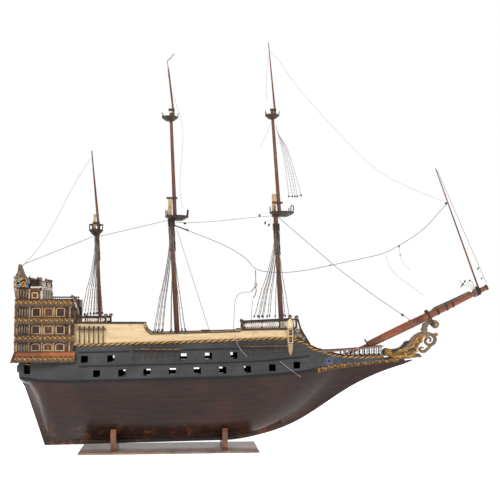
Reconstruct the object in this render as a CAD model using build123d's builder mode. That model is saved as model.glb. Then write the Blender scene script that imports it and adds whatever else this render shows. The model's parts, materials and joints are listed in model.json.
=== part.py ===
from build123d import *
import math
import os

os.makedirs("parts", exist_ok=True)

# A rigged sailing ship model on a two-cradle stand.
# +X runs towards the bow, +Y to port, +Z up; the origin is the middle of the board's underside.

# ---------------------------------------------------------------- driving dimensions (mm)

BOARD_LENGTH = 412
BOARD_WIDTH = 138
BOARD_THICKNESS = 5
CRADLE_OFFSET = 127.5      # cradle centres, either side of the middle
CRADLE_THICKNESS = 12
CRADLE_HALF_WIDTH = 62
CRADLE_TOP = 55
CRADLE_CLEARANCE = 0.5     # felt-thin gap between cradle and planking
SCREW_RADIUS = 1.5
SCREW_LENGTH = 15

KEEL_HALF = 4              # half thickness of keel, post and stem
HALF_BEAM = 91             # widest half breadth, at the widest frame
WIDEST_FRAME = 20
RUN_FORE = 400             # from the widest frame to where the breadth would vanish
RUN_AFT = 463
FINENESS = 3.6             # exponent of the waterlines
TUMBLEHOME = 0.0016        # share of the beam lost per mm above the wales
STERN = -342               # aft end of the planking
BOW = 412                  # fore end of the planking
WALL = 4                   # thickness of the topside planking
TRIM = 1.8                 # how far wales and mouldings stand proud
DECK = 2.5                 # thickness of the decks
DECK_GAP = 0.3             # between a deck's edge and the planking

POST_FOOT = (-289, 13.4)   # aft lower corner of the keel
POST_HEAD = (-340, 161.4)
FOREFOOT = (130, 20)       # where the keel starts to rise
BEAK_TIP = (566, 197)      # fore end of the knee under the figurehead

PORT_WIDTH = 16
PORT_HEIGHT = 15.5
LOWER_PORTS = [-164, -107.5, -51.3, 5.8, 62.6, 120.3, 177.4, 234.8, 293.5]
UPPER_PORTS = [-192, -133, 31.4, 87.8, 145.9]
LOWER_PORT_RISE = 16.5     # port centres above the wale line
UPPER_PORT_RISE = 49

UPPER_GUN_DECK = 35        # deck tops above the wale line
WEATHER_DECK = 84
FORECASTLE_DECK = 96
QUARTERDECK = 286          # level decks aft
POOP_DECK = 327
CABIN_ROOF = 374
QUARTERDECK_FRONT = -60    # where the raised decks end
POOP_FRONT = -225
CABIN_FRONT = -293

# sheer of the bulwarks in side view, from the stern to the beak
BULWARK_AFT = [(STERN - 5, 372), (CABIN_FRONT, 372), (CABIN_FRONT + 3, 343), (POOP_FRONT, 343),
               (POOP_FRONT + 7, 296), (QUARTERDECK_FRONT, 295.4)]
BULWARK_STEP = [(QUARTERDECK_FRONT, 295.4), (-54, 279), (-43, 271.2)]
BULWARK_FORE = [(-43, 271.2), (25, 272.6), (160, 276.5), (163, 279.5), (284, 281), (303, 281),
                (316, 261.5), (327, 244), (345, 236), (369, 229.5), (BOW + 5, 216)]

BOWSPRIT_HEEL = (477, 242.7)
BOWSPRIT_SLOPE = 0.468
BOWSPRIT_TIP = 777

STAY_DIAMETER = 1.2
THREAD_DIAMETER = 0.9
SHROUD_RADIUS = 0.55


# ---------------------------------------------------------------- hull lines

def half_beam(x):
    """Widest half breadth of the frame at x."""
    run = RUN_FORE if x > WIDEST_FRAME else RUN_AFT
    return HALF_BEAM * (1 - (abs(x - WIDEST_FRAME) / run) ** FINENESS)


def wale_line(x):
    """Height of the wales, where the dark bottom meets the painted topsides."""
    ahead = max(x + 235, 0)
    astern = min(x + 235, 0)
    bow = max(x - 145, 0)
    return 165.8 + 0.0215 * ahead + 17 * (bow / 260) ** 2 + 5.5 * (astern / 102) ** 2


def rabbet(x):
    """Lowest point of the planking, on the keel, the post or the stem."""
    post = POST_FOOT[1] + (POST_FOOT[0] + 12 - x) / 0.345
    if post > 22:
        return min(post, 156)
    floor = 22 + 0.018 * (x + 277)
    return floor + 142.5 * (max(x - 130, 0) / 275) ** 2.15


def fullness(x):
    """Exponent of the frame's curve: low amidships, high where the frames are hollow."""
    if x < WIDEST_FRAME:
        return 0.55 + 1.1 * ((WIDEST_FRAME - x) / 340) ** 2.5
    return 0.55 + 0.45 * ((x - WIDEST_FRAME) / 380) ** 2


def side(x, z):
    """Half breadth of the planking at station x and height z."""
    beam = half_beam(x)
    widest = wale_line(x) + 6
    above = z - widest
    if above > 0:
        return beam * (1 - TUMBLEHOME * above * above / (above + 25))
    depth = max(0, (z - rabbet(x)) / (widest - rabbet(x)))
    return KEEL_HALF + (beam - KEEL_HALF) * (1 - (1 - depth) ** 2) ** fullness(x)


def bevel(x):
    """How much a thickness grows across the ship where the side runs in towards the stem."""
    slope = (half_beam(x + 1) - half_beam(x - 1)) / 2
    return math.sqrt(1 + slope * slope)


def crown(x):
    """Top of the lofted frames, above every bulwark."""
    return 302 + 0.5 * max(-150 - x, 0)


def cross_plane(x):
    """Plane across the ship, with local x to port and local y up."""
    return Plane(origin=(x, 0, 0), x_dir=(0, 1, 0), z_dir=(1, 0, 0))


def hull_form(stations, offset=0, hollow=False):
    """Lofted body of the frames, moved outwards by offset; hollow starts it above the wales."""
    with BuildPart() as form:
        for x in stations:
            low = wale_line(x) - 4 if hollow else rabbet(x)
            widest = wale_line(x) + 6
            high = crown(x) + (12 if hollow else 0)
            if hollow:
                levels = [low, (low + widest) / 2, widest, (widest * 2 + high) / 3, (widest + high * 2) / 3,
                          high]
            else:
                rise = [0, 0.06, 0.2, 0.45, 0.75, 1]
                levels = [low + share * (widest - low) for share in rise]
                levels += [(widest * 2 + high) / 3, (widest + high * 2) / 3, high]
            breadths = [max(side(x, z) + offset * bevel(x), 1.0) for z in levels]
            with BuildSketch(cross_plane(x)):
                with BuildLine():
                    Spline([(y, z) for y, z in zip(breadths, levels)])
                    Line((breadths[-1], levels[-1]), (-breadths[-1], levels[-1]))
                    Spline([(-y, z) for y, z in zip(reversed(breadths), reversed(levels))])
                    Line((-breadths[0], levels[0]), (breadths[0], levels[0]))
                make_face()
        loft()
    return form.part


STATIONS = [STERN, -320, -300, -278, -240, -170, -80, 20, 110, 180, 240, 290, 330, 362, 385, 400, BOW]
INNER_STATIONS = [STERN - 10] + STATIONS[1:-2] + [392]

outer_form = hull_form(STATIONS)
trim_form = hull_form(STATIONS, offset=TRIM)
cradle_form = hull_form(STATIONS, offset=CRADLE_CLEARANCE)
inner_form = hull_form(INNER_STATIONS, offset=-WALL, hollow=True)
deck_form = hull_form(INNER_STATIONS, offset=-WALL - DECK_GAP, hollow=True)


# ---------------------------------------------------------------- shared helpers

def finish(piece, name):
    """Labels a finished piece and writes its file."""
    piece.part.label = name
    export_step(piece.part, f"parts/{name}.step")


def wale_curve(start, end, rise=0):
    """Side-view points along the wale line."""
    count = max(2, round(abs(end - start) / 90))
    steps = [start + (end - start) * i / count for i in range(count + 1)]
    return [(x, wale_line(x) + rise) for x in steps]


WALES = wale_curve(STERN - 5, BOW + 5)


def strip(lower, upper):
    """Flat face between two side-view curves."""
    with BuildSketch() as band:
        with BuildLine():
            Spline(lower)
            Line(lower[-1], upper[-1])
            Spline(list(reversed(upper)))
            Line(upper[0], lower[0])
        make_face()
    return band.sketch


def band_along(points, low, high):
    """Side-view band from low to high above a row of points."""
    return strip([(x, z + low) for x, z in points], [(x, z + high) for x, z in points])


def bulwark_outline(lower, rise):
    """Side-view face between a lower row of points and the bulwark tops raised by rise."""
    def raised(points):
        return [(x, z + rise) for x, z in points]

    with BuildSketch() as face:
        with BuildLine():
            Polyline(raised(BULWARK_AFT))
            Spline(raised(BULWARK_STEP))
            Polyline(raised(BULWARK_FORE))
            Line(raised(BULWARK_FORE)[-1], lower[-1])
            Spline(list(reversed(lower)))
            Line(lower[0], raised(BULWARK_AFT)[0])
        make_face()
    return face.sketch


def rod(start, end, radius, end_radius=None):
    """Adds a round bar between two points to the part being built."""
    way = Vector(end) - Vector(start)
    with BuildSketch(Plane(origin=start, z_dir=way)) as near:
        Circle(radius)
    if end_radius is None:
        extrude(near.sketch, amount=way.length)
    else:
        with BuildSketch(Plane(origin=end, z_dir=way)) as far:
            Circle(end_radius)
        loft([near.sketch, far.sketch])


def chain_of_rods(points, radius):
    """Adds a bent bar through points, with round joints."""
    for start, end in zip(points, points[1:]):
        rod(start, end, radius)
    for point in points[1:-1]:
        with Locations(point):
            Sphere(radius)


# ---------------------------------------------------------------- stand

def build_stand():
    with BuildPart() as stand_board:
        with Locations((0, 0, BOARD_THICKNESS / 2)):
            Box(BOARD_LENGTH, BOARD_WIDTH, BOARD_THICKNESS)
        chamfer(stand_board.faces().sort_by(Axis.Z)[-1].edges(), length=1.2)
        for x in (-CRADLE_OFFSET, CRADLE_OFFSET):
            with Locations((x, -40, 0), (x, 40, 0)):
                Cylinder(SCREW_RADIUS, BOARD_THICKNESS, align=(Align.CENTER, Align.CENTER, Align.MIN),
                         mode=Mode.SUBTRACT)
                Cone(SCREW_RADIUS * 2, SCREW_RADIUS, SCREW_RADIUS,
                     align=(Align.CENTER, Align.CENTER, Align.MIN), mode=Mode.SUBTRACT)
    finish(stand_board, "stand_board")

    with BuildPart() as cradle_screws:
        for x in (-CRADLE_OFFSET, CRADLE_OFFSET):
            with Locations((x, -40, 0), (x, 40, 0)):
                Cylinder(SCREW_RADIUS, SCREW_LENGTH, align=(Align.CENTER, Align.CENTER, Align.MIN))
                Cone(SCREW_RADIUS * 2, SCREW_RADIUS, SCREW_RADIUS,
                     align=(Align.CENTER, Align.CENTER, Align.MIN))
    finish(cradle_screws, "cradle_screws")

    for x, name in ((-CRADLE_OFFSET, "cradle_aft"), (CRADLE_OFFSET, "cradle_fore")):
        with BuildPart() as cradle:
            with BuildSketch(cross_plane(x)):
                with BuildLine():
                    Polyline((-CRADLE_HALF_WIDTH + 6, CRADLE_TOP), (-CRADLE_HALF_WIDTH, CRADLE_TOP - 8),
                             (-CRADLE_HALF_WIDTH + 8, BOARD_THICKNESS),
                             (CRADLE_HALF_WIDTH - 8, BOARD_THICKNESS),
                             (CRADLE_HALF_WIDTH, CRADLE_TOP - 8), (CRADLE_HALF_WIDTH - 6, CRADLE_TOP),
                             close=True)
                make_face()
            extrude(amount=CRADLE_THICKNESS / 2, both=True)
            add(cradle_form, mode=Mode.SUBTRACT)
            with Locations((x, 0, 0)):
                Box(CRADLE_THICKNESS, 2 * (KEEL_HALF + CRADLE_CLEARANCE), 80, mode=Mode.SUBTRACT,
                    align=(Align.CENTER, Align.CENTER, Align.MIN))
            with Locations((x, 0, BOARD_THICKNESS)):
                Box(CRADLE_THICKNESS, 60, keel_bottom(x - CRADLE_THICKNESS / 2) - BOARD_THICKNESS - 0.2,
                    align=(Align.CENTER, Align.CENTER, Align.MIN))
            add(cradle_screws.part, mode=Mode.SUBTRACT)
        finish(cradle, name)


def keel_bottom(x):
    """Height of the keel's underside along its straight run."""
    rise = (FOREFOOT[1] - POST_FOOT[1]) / (FOREFOOT[0] - POST_FOOT[0])
    return POST_FOOT[1] + rise * (x - POST_FOOT[0])


# ---------------------------------------------------------------- hull

def build_backbone():
    with BuildPart() as keel:
        with BuildSketch(Plane.XZ):
            with BuildLine():
                Polyline(POST_FOOT, FOREFOOT, (FOREFOOT[0], 50), (-260, 50), (-322, 161.4), POST_HEAD,
                         close=True)
            make_face()
        extrude(amount=KEEL_HALF, both=True)
        add(outer_form, mode=Mode.SUBTRACT)
    finish(keel, "keel")

    with BuildPart() as knee_of_head:
        with BuildSketch(Plane.XZ):
            with BuildLine():
                Spline(FOREFOOT, (198, 29), (286, 56), (364, 100.5), (439, 147), (505, 177), BEAK_TIP,
                       tangents=[(1, 0.016), (1, 0.3)])
                Polyline(BEAK_TIP, (BEAK_TIP[0], 221))
                Spline((BEAK_TIP[0], 221), (520, 212), (470, 208), (BOW, 214))
                Polyline((BOW, 214), (BOW - 20, 214), (FOREFOOT[0], 60), FOREFOOT)
            make_face()
        extrude(amount=KEEL_HALF, both=True)
        add(outer_form, mode=Mode.SUBTRACT)
    finish(knee_of_head, "knee_of_head")


def build_hull_bottom():
    with BuildPart() as hull_bottom:
        add(outer_form)
        with BuildSketch(Plane.XZ):
            with BuildLine():
                Spline(WALES)
                Polyline(WALES[-1], (BOW + 5, 0), (STERN - 5, 0), WALES[0])
            make_face()
        extrude(amount=HALF_BEAM + 20, both=True, mode=Mode.INTERSECT)
        for mast in (fore_lower_mast, main_lower_mast, mizzen_lower_mast):
            add(mast.part, mode=Mode.SUBTRACT)
    finish(hull_bottom, "hull_bottom")


def build_topsides():
    with BuildPart() as topsides:
        add(outer_form)
        with BuildSketch(Plane.XZ):
            add(bulwark_outline(WALES, 0))
        extrude(amount=HALF_BEAM + 20, both=True, mode=Mode.INTERSECT)
        add(inner_form, mode=Mode.SUBTRACT)
        for rise, row in ((LOWER_PORT_RISE, LOWER_PORTS), (UPPER_PORT_RISE, UPPER_PORTS)):
            for x in row:
                with Locations((x, 0, wale_line(x) + rise)):
                    Box(PORT_WIDTH, 3 * HALF_BEAM, PORT_HEIGHT, mode=Mode.SUBTRACT)
        with Locations((-322, 0, 195)):
            Box(15, 3 * HALF_BEAM, 26, mode=Mode.SUBTRACT)
        with Locations((376, 0, 206)):
            Cylinder(2.5, 3 * HALF_BEAM, rotation=(90, 0, 0), mode=Mode.SUBTRACT)
    for keep, name in ((Keep.TOP, "topside_starboard"), (Keep.BOTTOM, "topside_port")):
        with BuildPart() as wall:
            add(topsides.part)
            split(bisect_by=Plane.XZ, keep=keep)
        finish(wall, name)


def build_trim():
    with BuildPart() as shell:
        add(trim_form)
        add(outer_form, mode=Mode.SUBTRACT)

    with BuildPart() as wales:
        with BuildSketch(Plane.XZ):
            add(band_along(wale_curve(STERN + 1, 340), -3, 3))
            add(band_along(wale_curve(-205, 325), 32.5, 35))
            add(band_along(wale_curve(-205, -92), 63.5, 66))
            add(band_along(wale_curve(30, 157), 63.5, 66))
        extrude(amount=HALF_BEAM + 20, both=True)
        add(shell.part, mode=Mode.INTERSECT)
        for x in LOWER_PORTS + UPPER_PORTS:
            rise = LOWER_PORT_RISE if x in LOWER_PORTS else UPPER_PORT_RISE
            with Locations((x, 0, wale_line(x) + rise)):
                Box(PORT_WIDTH, 3 * HALF_BEAM, PORT_HEIGHT, mode=Mode.SUBTRACT)
    finish(wales, "wales")

    rope_line = [(-209, 247.5), (-66, 251.5), (26, 254), (120, 257.5), (207, 260.5), (262, 260.8)]
    rope_fall = [(262, 260.8), (294, 256), (315, 248), (334, 236), (367, 225.5), (398, 217)]
    with BuildPart() as rope_mouldings:
        with BuildSketch(Plane.XZ):
            add(band_along(rope_line, -2.2, 2.2))
            add(band_along(rope_fall, -2.2, 2.2))
        extrude(amount=HALF_BEAM + 20, both=True)
        add(shell.part, mode=Mode.INTERSECT)
    finish(rope_mouldings, "rope_mouldings")

    with BuildPart() as cap_rails:
        with BuildSketch(Plane.XZ):
            add(bulwark_outline(WALES, 2.5))
            add(bulwark_outline(WALES, 0), mode=Mode.SUBTRACT)
        extrude(amount=HALF_BEAM + 20, both=True)
        add(trim_form, mode=Mode.INTERSECT)
        add(inner_form, mode=Mode.SUBTRACT)
        with Locations((0, 0, 0)):
            Box(2 * BOW, 16, 900, mode=Mode.SUBTRACT)
    finish(cap_rails, "cap_rails")


def railing(start, end, start_foot, end_foot, height, pitch):
    """Adds a balustrade on both sides: bottom and top rails with turned balusters between."""
    for hand in (-1, 1):
        def edge(x, rise):
            foot = start_foot + (end_foot - start_foot) * (x - start) / (end - start)
            return (x, hand * (side(x, start_foot) - WALL / 2), foot + rise)

        count = round((end - start) / pitch)
        marks = [start + (end - start) * i / count for i in range(count + 1)]
        knots = [start, (start + end) / 2, end]
        for low, high in ((0, 1.6), (height - 2.4, height)):
            for first, last in zip(knots, knots[1:]):
                near = Vector(edge(first, high))
                far = Vector(edge(last, high))
                way = far - near
                with BuildSketch(Plane(origin=near, x_dir=(-way.Y, way.X, 0), z_dir=way)) as bar:
                    Rectangle(3, high - low, align=(Align.CENTER, Align.MAX))
                extrude(bar.sketch, amount=way.length)
        for x in marks[1:-1]:
            rod(edge(x, 0.5), edge(x, height - 1), 0.8)
        for x in (start, end):
            with Locations(edge(x, 0.2)):
                Box(4, 4, height + 1, align=(Align.CENTER, Align.CENTER, Align.MIN))
            with Locations(edge(x, height + 2.5)):
                Sphere(2.2)


CATHEAD_X = 278


def build_balustrades():
    with BuildPart() as balustrades:
        railing(-208, -147, 298.9, 298.6, 14, 6)
        railing(166, 294, 282.6, 284.2, 22, 7)
        with Locations((CATHEAD_X, 0, 303)):
            Box(10.6, 3 * HALF_BEAM, 13, mode=Mode.SUBTRACT)
    finish(balustrades, "balustrades")


# ---------------------------------------------------------------- decks

def deck_piece(heights, masts):
    """A deck whose top follows a row of side-view points, with holes for the masts."""
    with BuildPart() as deck:
        add(deck_form)
        with BuildSketch(Plane.XZ):
            add(band_along(heights, -DECK, 0))
        extrude(amount=HALF_BEAM + 20, both=True, mode=Mode.INTERSECT)
        for mast in masts:
            add(mast, mode=Mode.SUBTRACT)
    return deck


def level(start, end, height):
    """Side-view points of a deck that rises a little towards its after end."""
    middle = (start + end) / 2
    return [(start, height + 2), (middle, height + 0.6), (end, height)]


def build_decks():
    sleeves = []
    for low, high, radius in (FORE_MAST, MAIN_MAST, MIZZEN_MAST):
        with BuildPart() as sleeve:
            rod(low, high, radius + 0.4)
        sleeves.append(sleeve.part)
    gun = deck_piece(wale_curve(STERN + 6, 318, UPPER_GUN_DECK), sleeves)
    finish(gun, "upper_gun_deck")
    weather = deck_piece(wale_curve(STERN + 6, 290, WEATHER_DECK), sleeves)
    finish(weather, "weather_deck")
    forecastle = deck_piece(wale_curve(166, 290, FORECASTLE_DECK), sleeves)
    finish(forecastle, "forecastle_deck")

    with BuildPart() as after_decks:
        for deck in (deck_piece(level(STERN + 6, QUARTERDECK_FRONT, QUARTERDECK), sleeves),
                     deck_piece(level(STERN + 6, POOP_FRONT - 2, POOP_DECK), sleeves),
                     deck_piece(level(STERN + 6, CABIN_FRONT - 1, CABIN_ROOF), sleeves)):
            add(deck.part)
    finish(after_decks, "after_decks")

    with BuildPart() as deck_bulkheads:
        add(deck_form)
        with BuildSketch(Plane.XZ):
            for x, low, high in ((QUARTERDECK_FRONT - 1.5, 254.6, QUARTERDECK - DECK - 0.4),
                                 (POOP_FRONT - 4, QUARTERDECK + 1.2, POOP_DECK - DECK - 0.2),
                                 (CABIN_FRONT - 3, POOP_DECK + 1.5, CABIN_ROOF - DECK - 0.2),
                                 (167.5, 259.5, 267.6),
                                 (292, 264, 280.5)):
                with Locations((x, (low + high) / 2)):
                    Rectangle(3, high - low)
        extrude(amount=HALF_BEAM + 20, both=True, mode=Mode.INTERSECT)
        for y in (-14, 14):
            with Locations((84, y, 257.2)):
                Cylinder(2, 19, align=(Align.CENTER, Align.CENTER, Align.MIN))
        with Locations((84, 0, 278)):
            Box(21, 36, 4)
    finish(deck_bulkheads, "deck_bulkheads")


# ---------------------------------------------------------------- stern

GALLERY_TIERS = [  # (height of the lower edge, half breadth of the tier)
    (209.5, 86), (222.5, 83.5), (233.5, 82), (254, 87.5), (271, 81.5), (294, 87), (310, 80.5),
    (334, 86), (350, 79)]
GALLERY_TOP = 376
GALLERY_AFT = STERN
STERN_PLATE = 5            # thickness of the after face
GALLERY_FORE = -217


def gallery_profile(hand):
    """Outline of the stepped gallery across the ship."""
    points = [(hand * 30, GALLERY_TIERS[0][0])]
    for index, (height, reach) in enumerate(GALLERY_TIERS):
        top = GALLERY_TIERS[index + 1][0] if index + 1 < len(GALLERY_TIERS) else 352
        points += [(hand * reach, height), (hand * reach, top)]
    points.append((hand * 30, 352))
    return points


def build_galleries():
    for hand, name in ((-1, "quarter_gallery_starboard"), (1, "quarter_gallery_port")):
        with BuildPart() as gallery:
            with BuildSketch(cross_plane(GALLERY_AFT)):
                with BuildLine():
                    Polyline(gallery_profile(hand), close=True)
                make_face()
            extrude(amount=GALLERY_FORE - GALLERY_AFT)
            with Locations((GALLERY_AFT, hand * 55, 351)):
                Box(CABIN_FRONT - GALLERY_AFT, 48, GALLERY_TOP - 351,
                    align=(Align.MIN, Align.CENTER, Align.MIN))
            for low, high, reach in ((236, 252, 82), (273, 292, 81.5), (312, 332, 80.5)):
                for x in (-329, -298, -272, -245):
                    with Locations((x, hand * reach, (low + high) / 2)):
                        Box(19, 3, high - low, mode=Mode.SUBTRACT)
            with Locations((-322, hand * 95, 195)):
                Box(15, 40, 26, mode=Mode.SUBTRACT)
            add(trim_form, mode=Mode.SUBTRACT)
            with Locations((-300, 0, 340)):
                Box(140, 90, 120, mode=Mode.SUBTRACT)
        finish(gallery, name)


def build_stern():
    with BuildPart() as closing:
        add(deck_form)
        with Locations((STERN + 2, 0, 192)):
            Box(4, 2 * HALF_BEAM, 37, mode=Mode.INTERSECT)

    with BuildPart() as transom:
        with BuildSketch(cross_plane(GALLERY_AFT)):
            with BuildLine():
                Polyline((-84, 208), (-84, 352), (84, 352), (84, 208), close=True)
            make_face()
        extrude(amount=-STERN_PLATE)
        add(closing.part)
    finish(transom, "transom")

    with BuildPart() as taffrail:
        with BuildSketch(cross_plane(GALLERY_AFT)):
            with BuildLine():
                Polyline((-84, 401), (-84, 352.2), (84, 352.2), (84, 401))
                Spline((84, 401), (60, 405), (34, 413), (14, 428), (0, 434), (-14, 428), (-34, 413),
                       (-60, 405), (-84, 401))
            make_face()
        extrude(amount=-STERN_PLATE)
        for hand in (-1, 1):
            with BuildSketch(Plane.XZ.offset(-hand * 80)):
                with BuildLine():
                    Polyline((GALLERY_AFT - 1, 376.2), (GALLERY_AFT - 1, 400), (-314, 392),
                             (-312, 384), (-300, 382), (-300, 376.2), close=True)
                make_face()
            extrude(amount=2, both=True)
    finish(taffrail, "taffrail")


# ---------------------------------------------------------------- channels, chains, catheads

CHANNELS = [  # (start, end, height, number of deadeyes, length of the chainplates)
    (-209, -146, 284, 6, 34), (-87, 25, 238.5, 9, 25), (162, 270, 244, 9, 22)]
CHANNEL_WIDTH = 8


def build_channels():
    with BuildPart() as channels:
        for hand in (-1, 1):
            for start, end, height, *_ in CHANNELS:
                middle = (start + end) / 2
                inner = [(x, hand * (side(x, height) - 1)) for x in (start, middle, end)]
                outer = [(x, hand * (side(x, height) + CHANNEL_WIDTH)) for x in (start, middle, end)]
                with BuildSketch(Plane.XY.offset(height - 1.2)):
                    with BuildLine():
                        Spline(inner)
                        Line(inner[-1], outer[-1])
                        Spline(list(reversed(outer)))
                        Line(outer[0], inner[0])
                    make_face()
                extrude(amount=2.4)
        add(outer_form, mode=Mode.SUBTRACT)
    finish(channels, "channels")

    with BuildPart() as chains:
        for hand in (-1, 1):
            for start, end, height, count, length in CHANNELS:
                for index in range(count):
                    x = start + 5 + (end - start - 10) * index / (count - 1)
                    y = hand * (side(x, height) + CHANNEL_WIDTH - 2.2)
                    with Locations(Location((x, y, height + 3.4), (90, 0, 0))):
                        Cylinder(2.1, 2)
                    foot = height - length
                    rod((x, hand * (side(x, height) + CHANNEL_WIDTH + 1.4), height + 2),
                        (x, hand * (side(x, foot) + TRIM + 1.2), foot), 0.6)
    finish(chains, "chains")


def build_catheads():
    with BuildPart() as catheads:
        for hand in (-1, 1):
            reach = side(CATHEAD_X, 280)
            with Locations((CATHEAD_X, hand * (reach + 4), 222)):
                Box(12, 9, 75, align=(Align.CENTER, Align.CENTER, Align.MIN))
            with Locations((CATHEAD_X, hand * (reach + 8), 297)):
                Box(10, 20, 8, align=(Align.CENTER, Align.CENTER, Align.MIN))
        add(trim_form, mode=Mode.SUBTRACT)
    finish(catheads, "catheads")


# ---------------------------------------------------------------- head and bowsprit

def bowsprit_axis(x):
    """Height of the bowsprit's centre line."""
    return BOWSPRIT_HEEL[1] + BOWSPRIT_SLOPE * (x - BOWSPRIT_HEEL[0])


BOWSPRIT_WAY = Vector(1, 0, BOWSPRIT_SLOPE)


def bowsprit_plane(x):
    """Plane across the bowsprit at station x, with local x to port."""
    return Plane(origin=(x, 0, bowsprit_axis(x)), x_dir=(0, 1, 0), z_dir=BOWSPRIT_WAY)


with BuildPart() as bowsprit:
    for x, radius in ((477, 8.6), (540, 10), (610, 9.8), (680, 8.2), (BOWSPRIT_TIP, 6.2)):
        with BuildSketch(bowsprit_plane(x)):
            Circle(radius)
    loft()
    rod((420, 0, 219.6), (479, 0, bowsprit_axis(479)), 3.8)
finish(bowsprit, "bowsprit")


def build_bowsprit_fittings():
    with BuildPart() as bowsprit_fittings:
        for x, radius in ((671, 9.6), (686, 9), (748, 7.7), (774, 7.2)):
            with BuildSketch(bowsprit_plane(x)):
                Circle(radius)
            extrude(amount=3.5)
        with BuildSketch(bowsprit_plane(625)):
            with Locations((0, -7)):
                SlotOverall(45, 24, rotation=90)
                SlotOverall(42, 21, rotation=90, mode=Mode.SUBTRACT)
        extrude(amount=5)
        rod((640, 0, bowsprit_axis(640) + 11.8), (732, 0, bowsprit_axis(732) + 9.6), 1.6)
        with BuildSketch(bowsprit_plane(752)):
            with Locations((0, 9)):
                Rectangle(7, 9)
        extrude(amount=6)
        with Locations(Location((472, 0, 251), (0, -30, 0))):
            Box(3, 5, 12)
        for neighbour in (bowsprit, sprit_topmast, figurehead):
            add(neighbour.part, mode=Mode.SUBTRACT)
    finish(bowsprit_fittings, "bowsprit_fittings")


def build_head():
    with BuildPart() as beakhead_platform:
        add(deck_form)
        with BuildSketch(Plane.XZ):
            add(band_along([(296, 233), (340, 224), (383, 214)], -DECK, 0))
        extrude(amount=HALF_BEAM + 20, both=True, mode=Mode.INTERSECT)
        with BuildSketch(Plane.XY.offset(217.5)):
            with BuildLine():
                Polyline((414, -18), (505, -8), (505, 8), (414, 18), close=True)
            make_face()
        extrude(amount=2)
        with Locations((430, 0, 222)):
            Box(32, 9, 12, mode=Mode.SUBTRACT)
    finish(beakhead_platform, "beakhead_platform")

    with BuildPart() as head_rails:
        for hand in (-1, 1):
            rail = [(374, -36.5, 230), (420, -23, 231.5), (470, -16, 236), (512, -11, 240)]
            rail = [(x, -hand * y, z) for x, y, z in rail]
            chain_of_rods(rail, 1.8)
            foot = [(x, y * 0.93, 219.9) for x, y, z in rail[1:]]
            chain_of_rods(foot, 1.5)
            for index in range(7):
                share = index / 6
                low = Vector(*foot[0]) * (1 - share) + Vector(*foot[-1]) * share
                high = Vector(low.X, low.Y, 231.5 + 8.5 * share)
                rod(low, high, 1.1)
            with Locations(Location((523, hand * 9, 224.5), (90, 0, 0))):
                Cylinder(9, 5)
        with BuildSketch(Plane.XZ):
            with BuildLine():
                Polyline((536, 236), (541, 248), (565, 244), (580, 230), (565.5, 221.5), (540, 218),
                         close=True)
            make_face()
        extrude(amount=4, both=True)
        add(figurehead.part, mode=Mode.SUBTRACT)
        add(knee_trim(), mode=Mode.SUBTRACT)
    finish(head_rails, "head_rails")


def knee_trim():
    """The knee's space, so that pieces beside it stay clear."""
    with BuildPart() as space:
        with Locations((500, 0, 150)):
            Box(132, 2 * KEEL_HALF, 140)
        with BuildSketch(Plane.XZ):
            with BuildLine():
                Polyline((BOW, 214), (470, 208), (520, 212), (BEAK_TIP[0], 221), (BEAK_TIP[0], 260),
                         (BOW, 260), close=True)
            make_face()
        extrude(amount=KEEL_HALF, both=True, mode=Mode.SUBTRACT)
    return space.part


with BuildPart() as figurehead:
    with BuildSketch(Plane.XZ):
        with BuildLine():
            Polyline((566.5, 199), (586, 204.3), (608, 213))
            Spline((608, 213), (613.6, 223.5), (633, 240.4), (646, 253), (647, 264), (641, 271),
                   (627, 275), (631, 288), (645, 292), (641, 299), (626, 299.5), (612, 291.5), (607.9, 276),
                   (596, 266), (584, 254), (574, 238), (566.5, 222))
            Line((566.5, 222), (566.5, 199))
        make_face()
        with Locations((608, 243)):
            RegularPolygon(11, 5, mode=Mode.SUBTRACT)
    extrude(amount=6, both=True)
    with Locations(Location((628, 0, 252), (90, 0, 0))):
        Cylinder(13, 20)
    with Locations(Location((644, 0, 293), (90, 0, 0))):
        Cylinder(8, 15)
finish(figurehead, "figurehead")


# ---------------------------------------------------------------- masts

def mast_point(foot, head, z):
    """Point of a mast's raked centre line at height z."""
    share = (z - foot[1]) / (head[1] - foot[1])
    return (foot[0] + share * (head[0] - foot[0]), 0, z)


FORE_LINE = ((265.2, 308), (252.6, 548))
MAIN_LINE = ((15.5, 278), (0.8, 525))
MIZZEN_LINE = ((-166, 315), (-176, 500))
MAST_HEEL = 160
FORE_MAST = (mast_point(*FORE_LINE, MAST_HEEL), mast_point(*FORE_LINE, 556), 6.3)
MAIN_MAST = (mast_point(*MAIN_LINE, MAST_HEEL), mast_point(*MAIN_LINE, 545), 6.4)
MIZZEN_MAST = (mast_point(*MIZZEN_LINE, MAST_HEEL), mast_point(*MIZZEN_LINE, 511), 4.9)


def spar(name, low, high, low_radius, high_radius):
    """A tapered round spar, written as its own piece."""
    with BuildPart() as piece:
        rod(low, high, low_radius, high_radius)
    finish(piece, name)
    return piece


def lower_mast(name, line, heel, radius, head_radius, head_x, head_size, head_top):
    """A lower mast with its squared masthead."""
    with BuildPart() as piece:
        rod(heel, mast_point(*line, head_top[0]), radius, head_radius)
        with Locations((head_x, 0, head_top[0] - 4)):
            Box(head_size, head_size, head_top[1] - head_top[0] + 4,
                align=(Align.CENTER, Align.CENTER, Align.MIN))
    finish(piece, name)
    return piece


fore_lower_mast = lower_mast("fore_lower_mast", FORE_LINE, FORE_MAST[0], 6.3, 5.6, 248.6, 10, (556, 608))
main_lower_mast = lower_mast("main_lower_mast", MAIN_LINE, MAIN_MAST[0], 6.4, 5.6, -3, 9.5, (545, 594))
mizzen_lower_mast = lower_mast("mizzen_lower_mast", MIZZEN_LINE, MIZZEN_MAST[0], 4.9, 4.0, -181.5, 5.5,
                               (511, 555))

sprit_topmast = spar("sprit_topmast", (755, 0, 381.4), (652, 0, 677), 2.3, 1.2)


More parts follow.
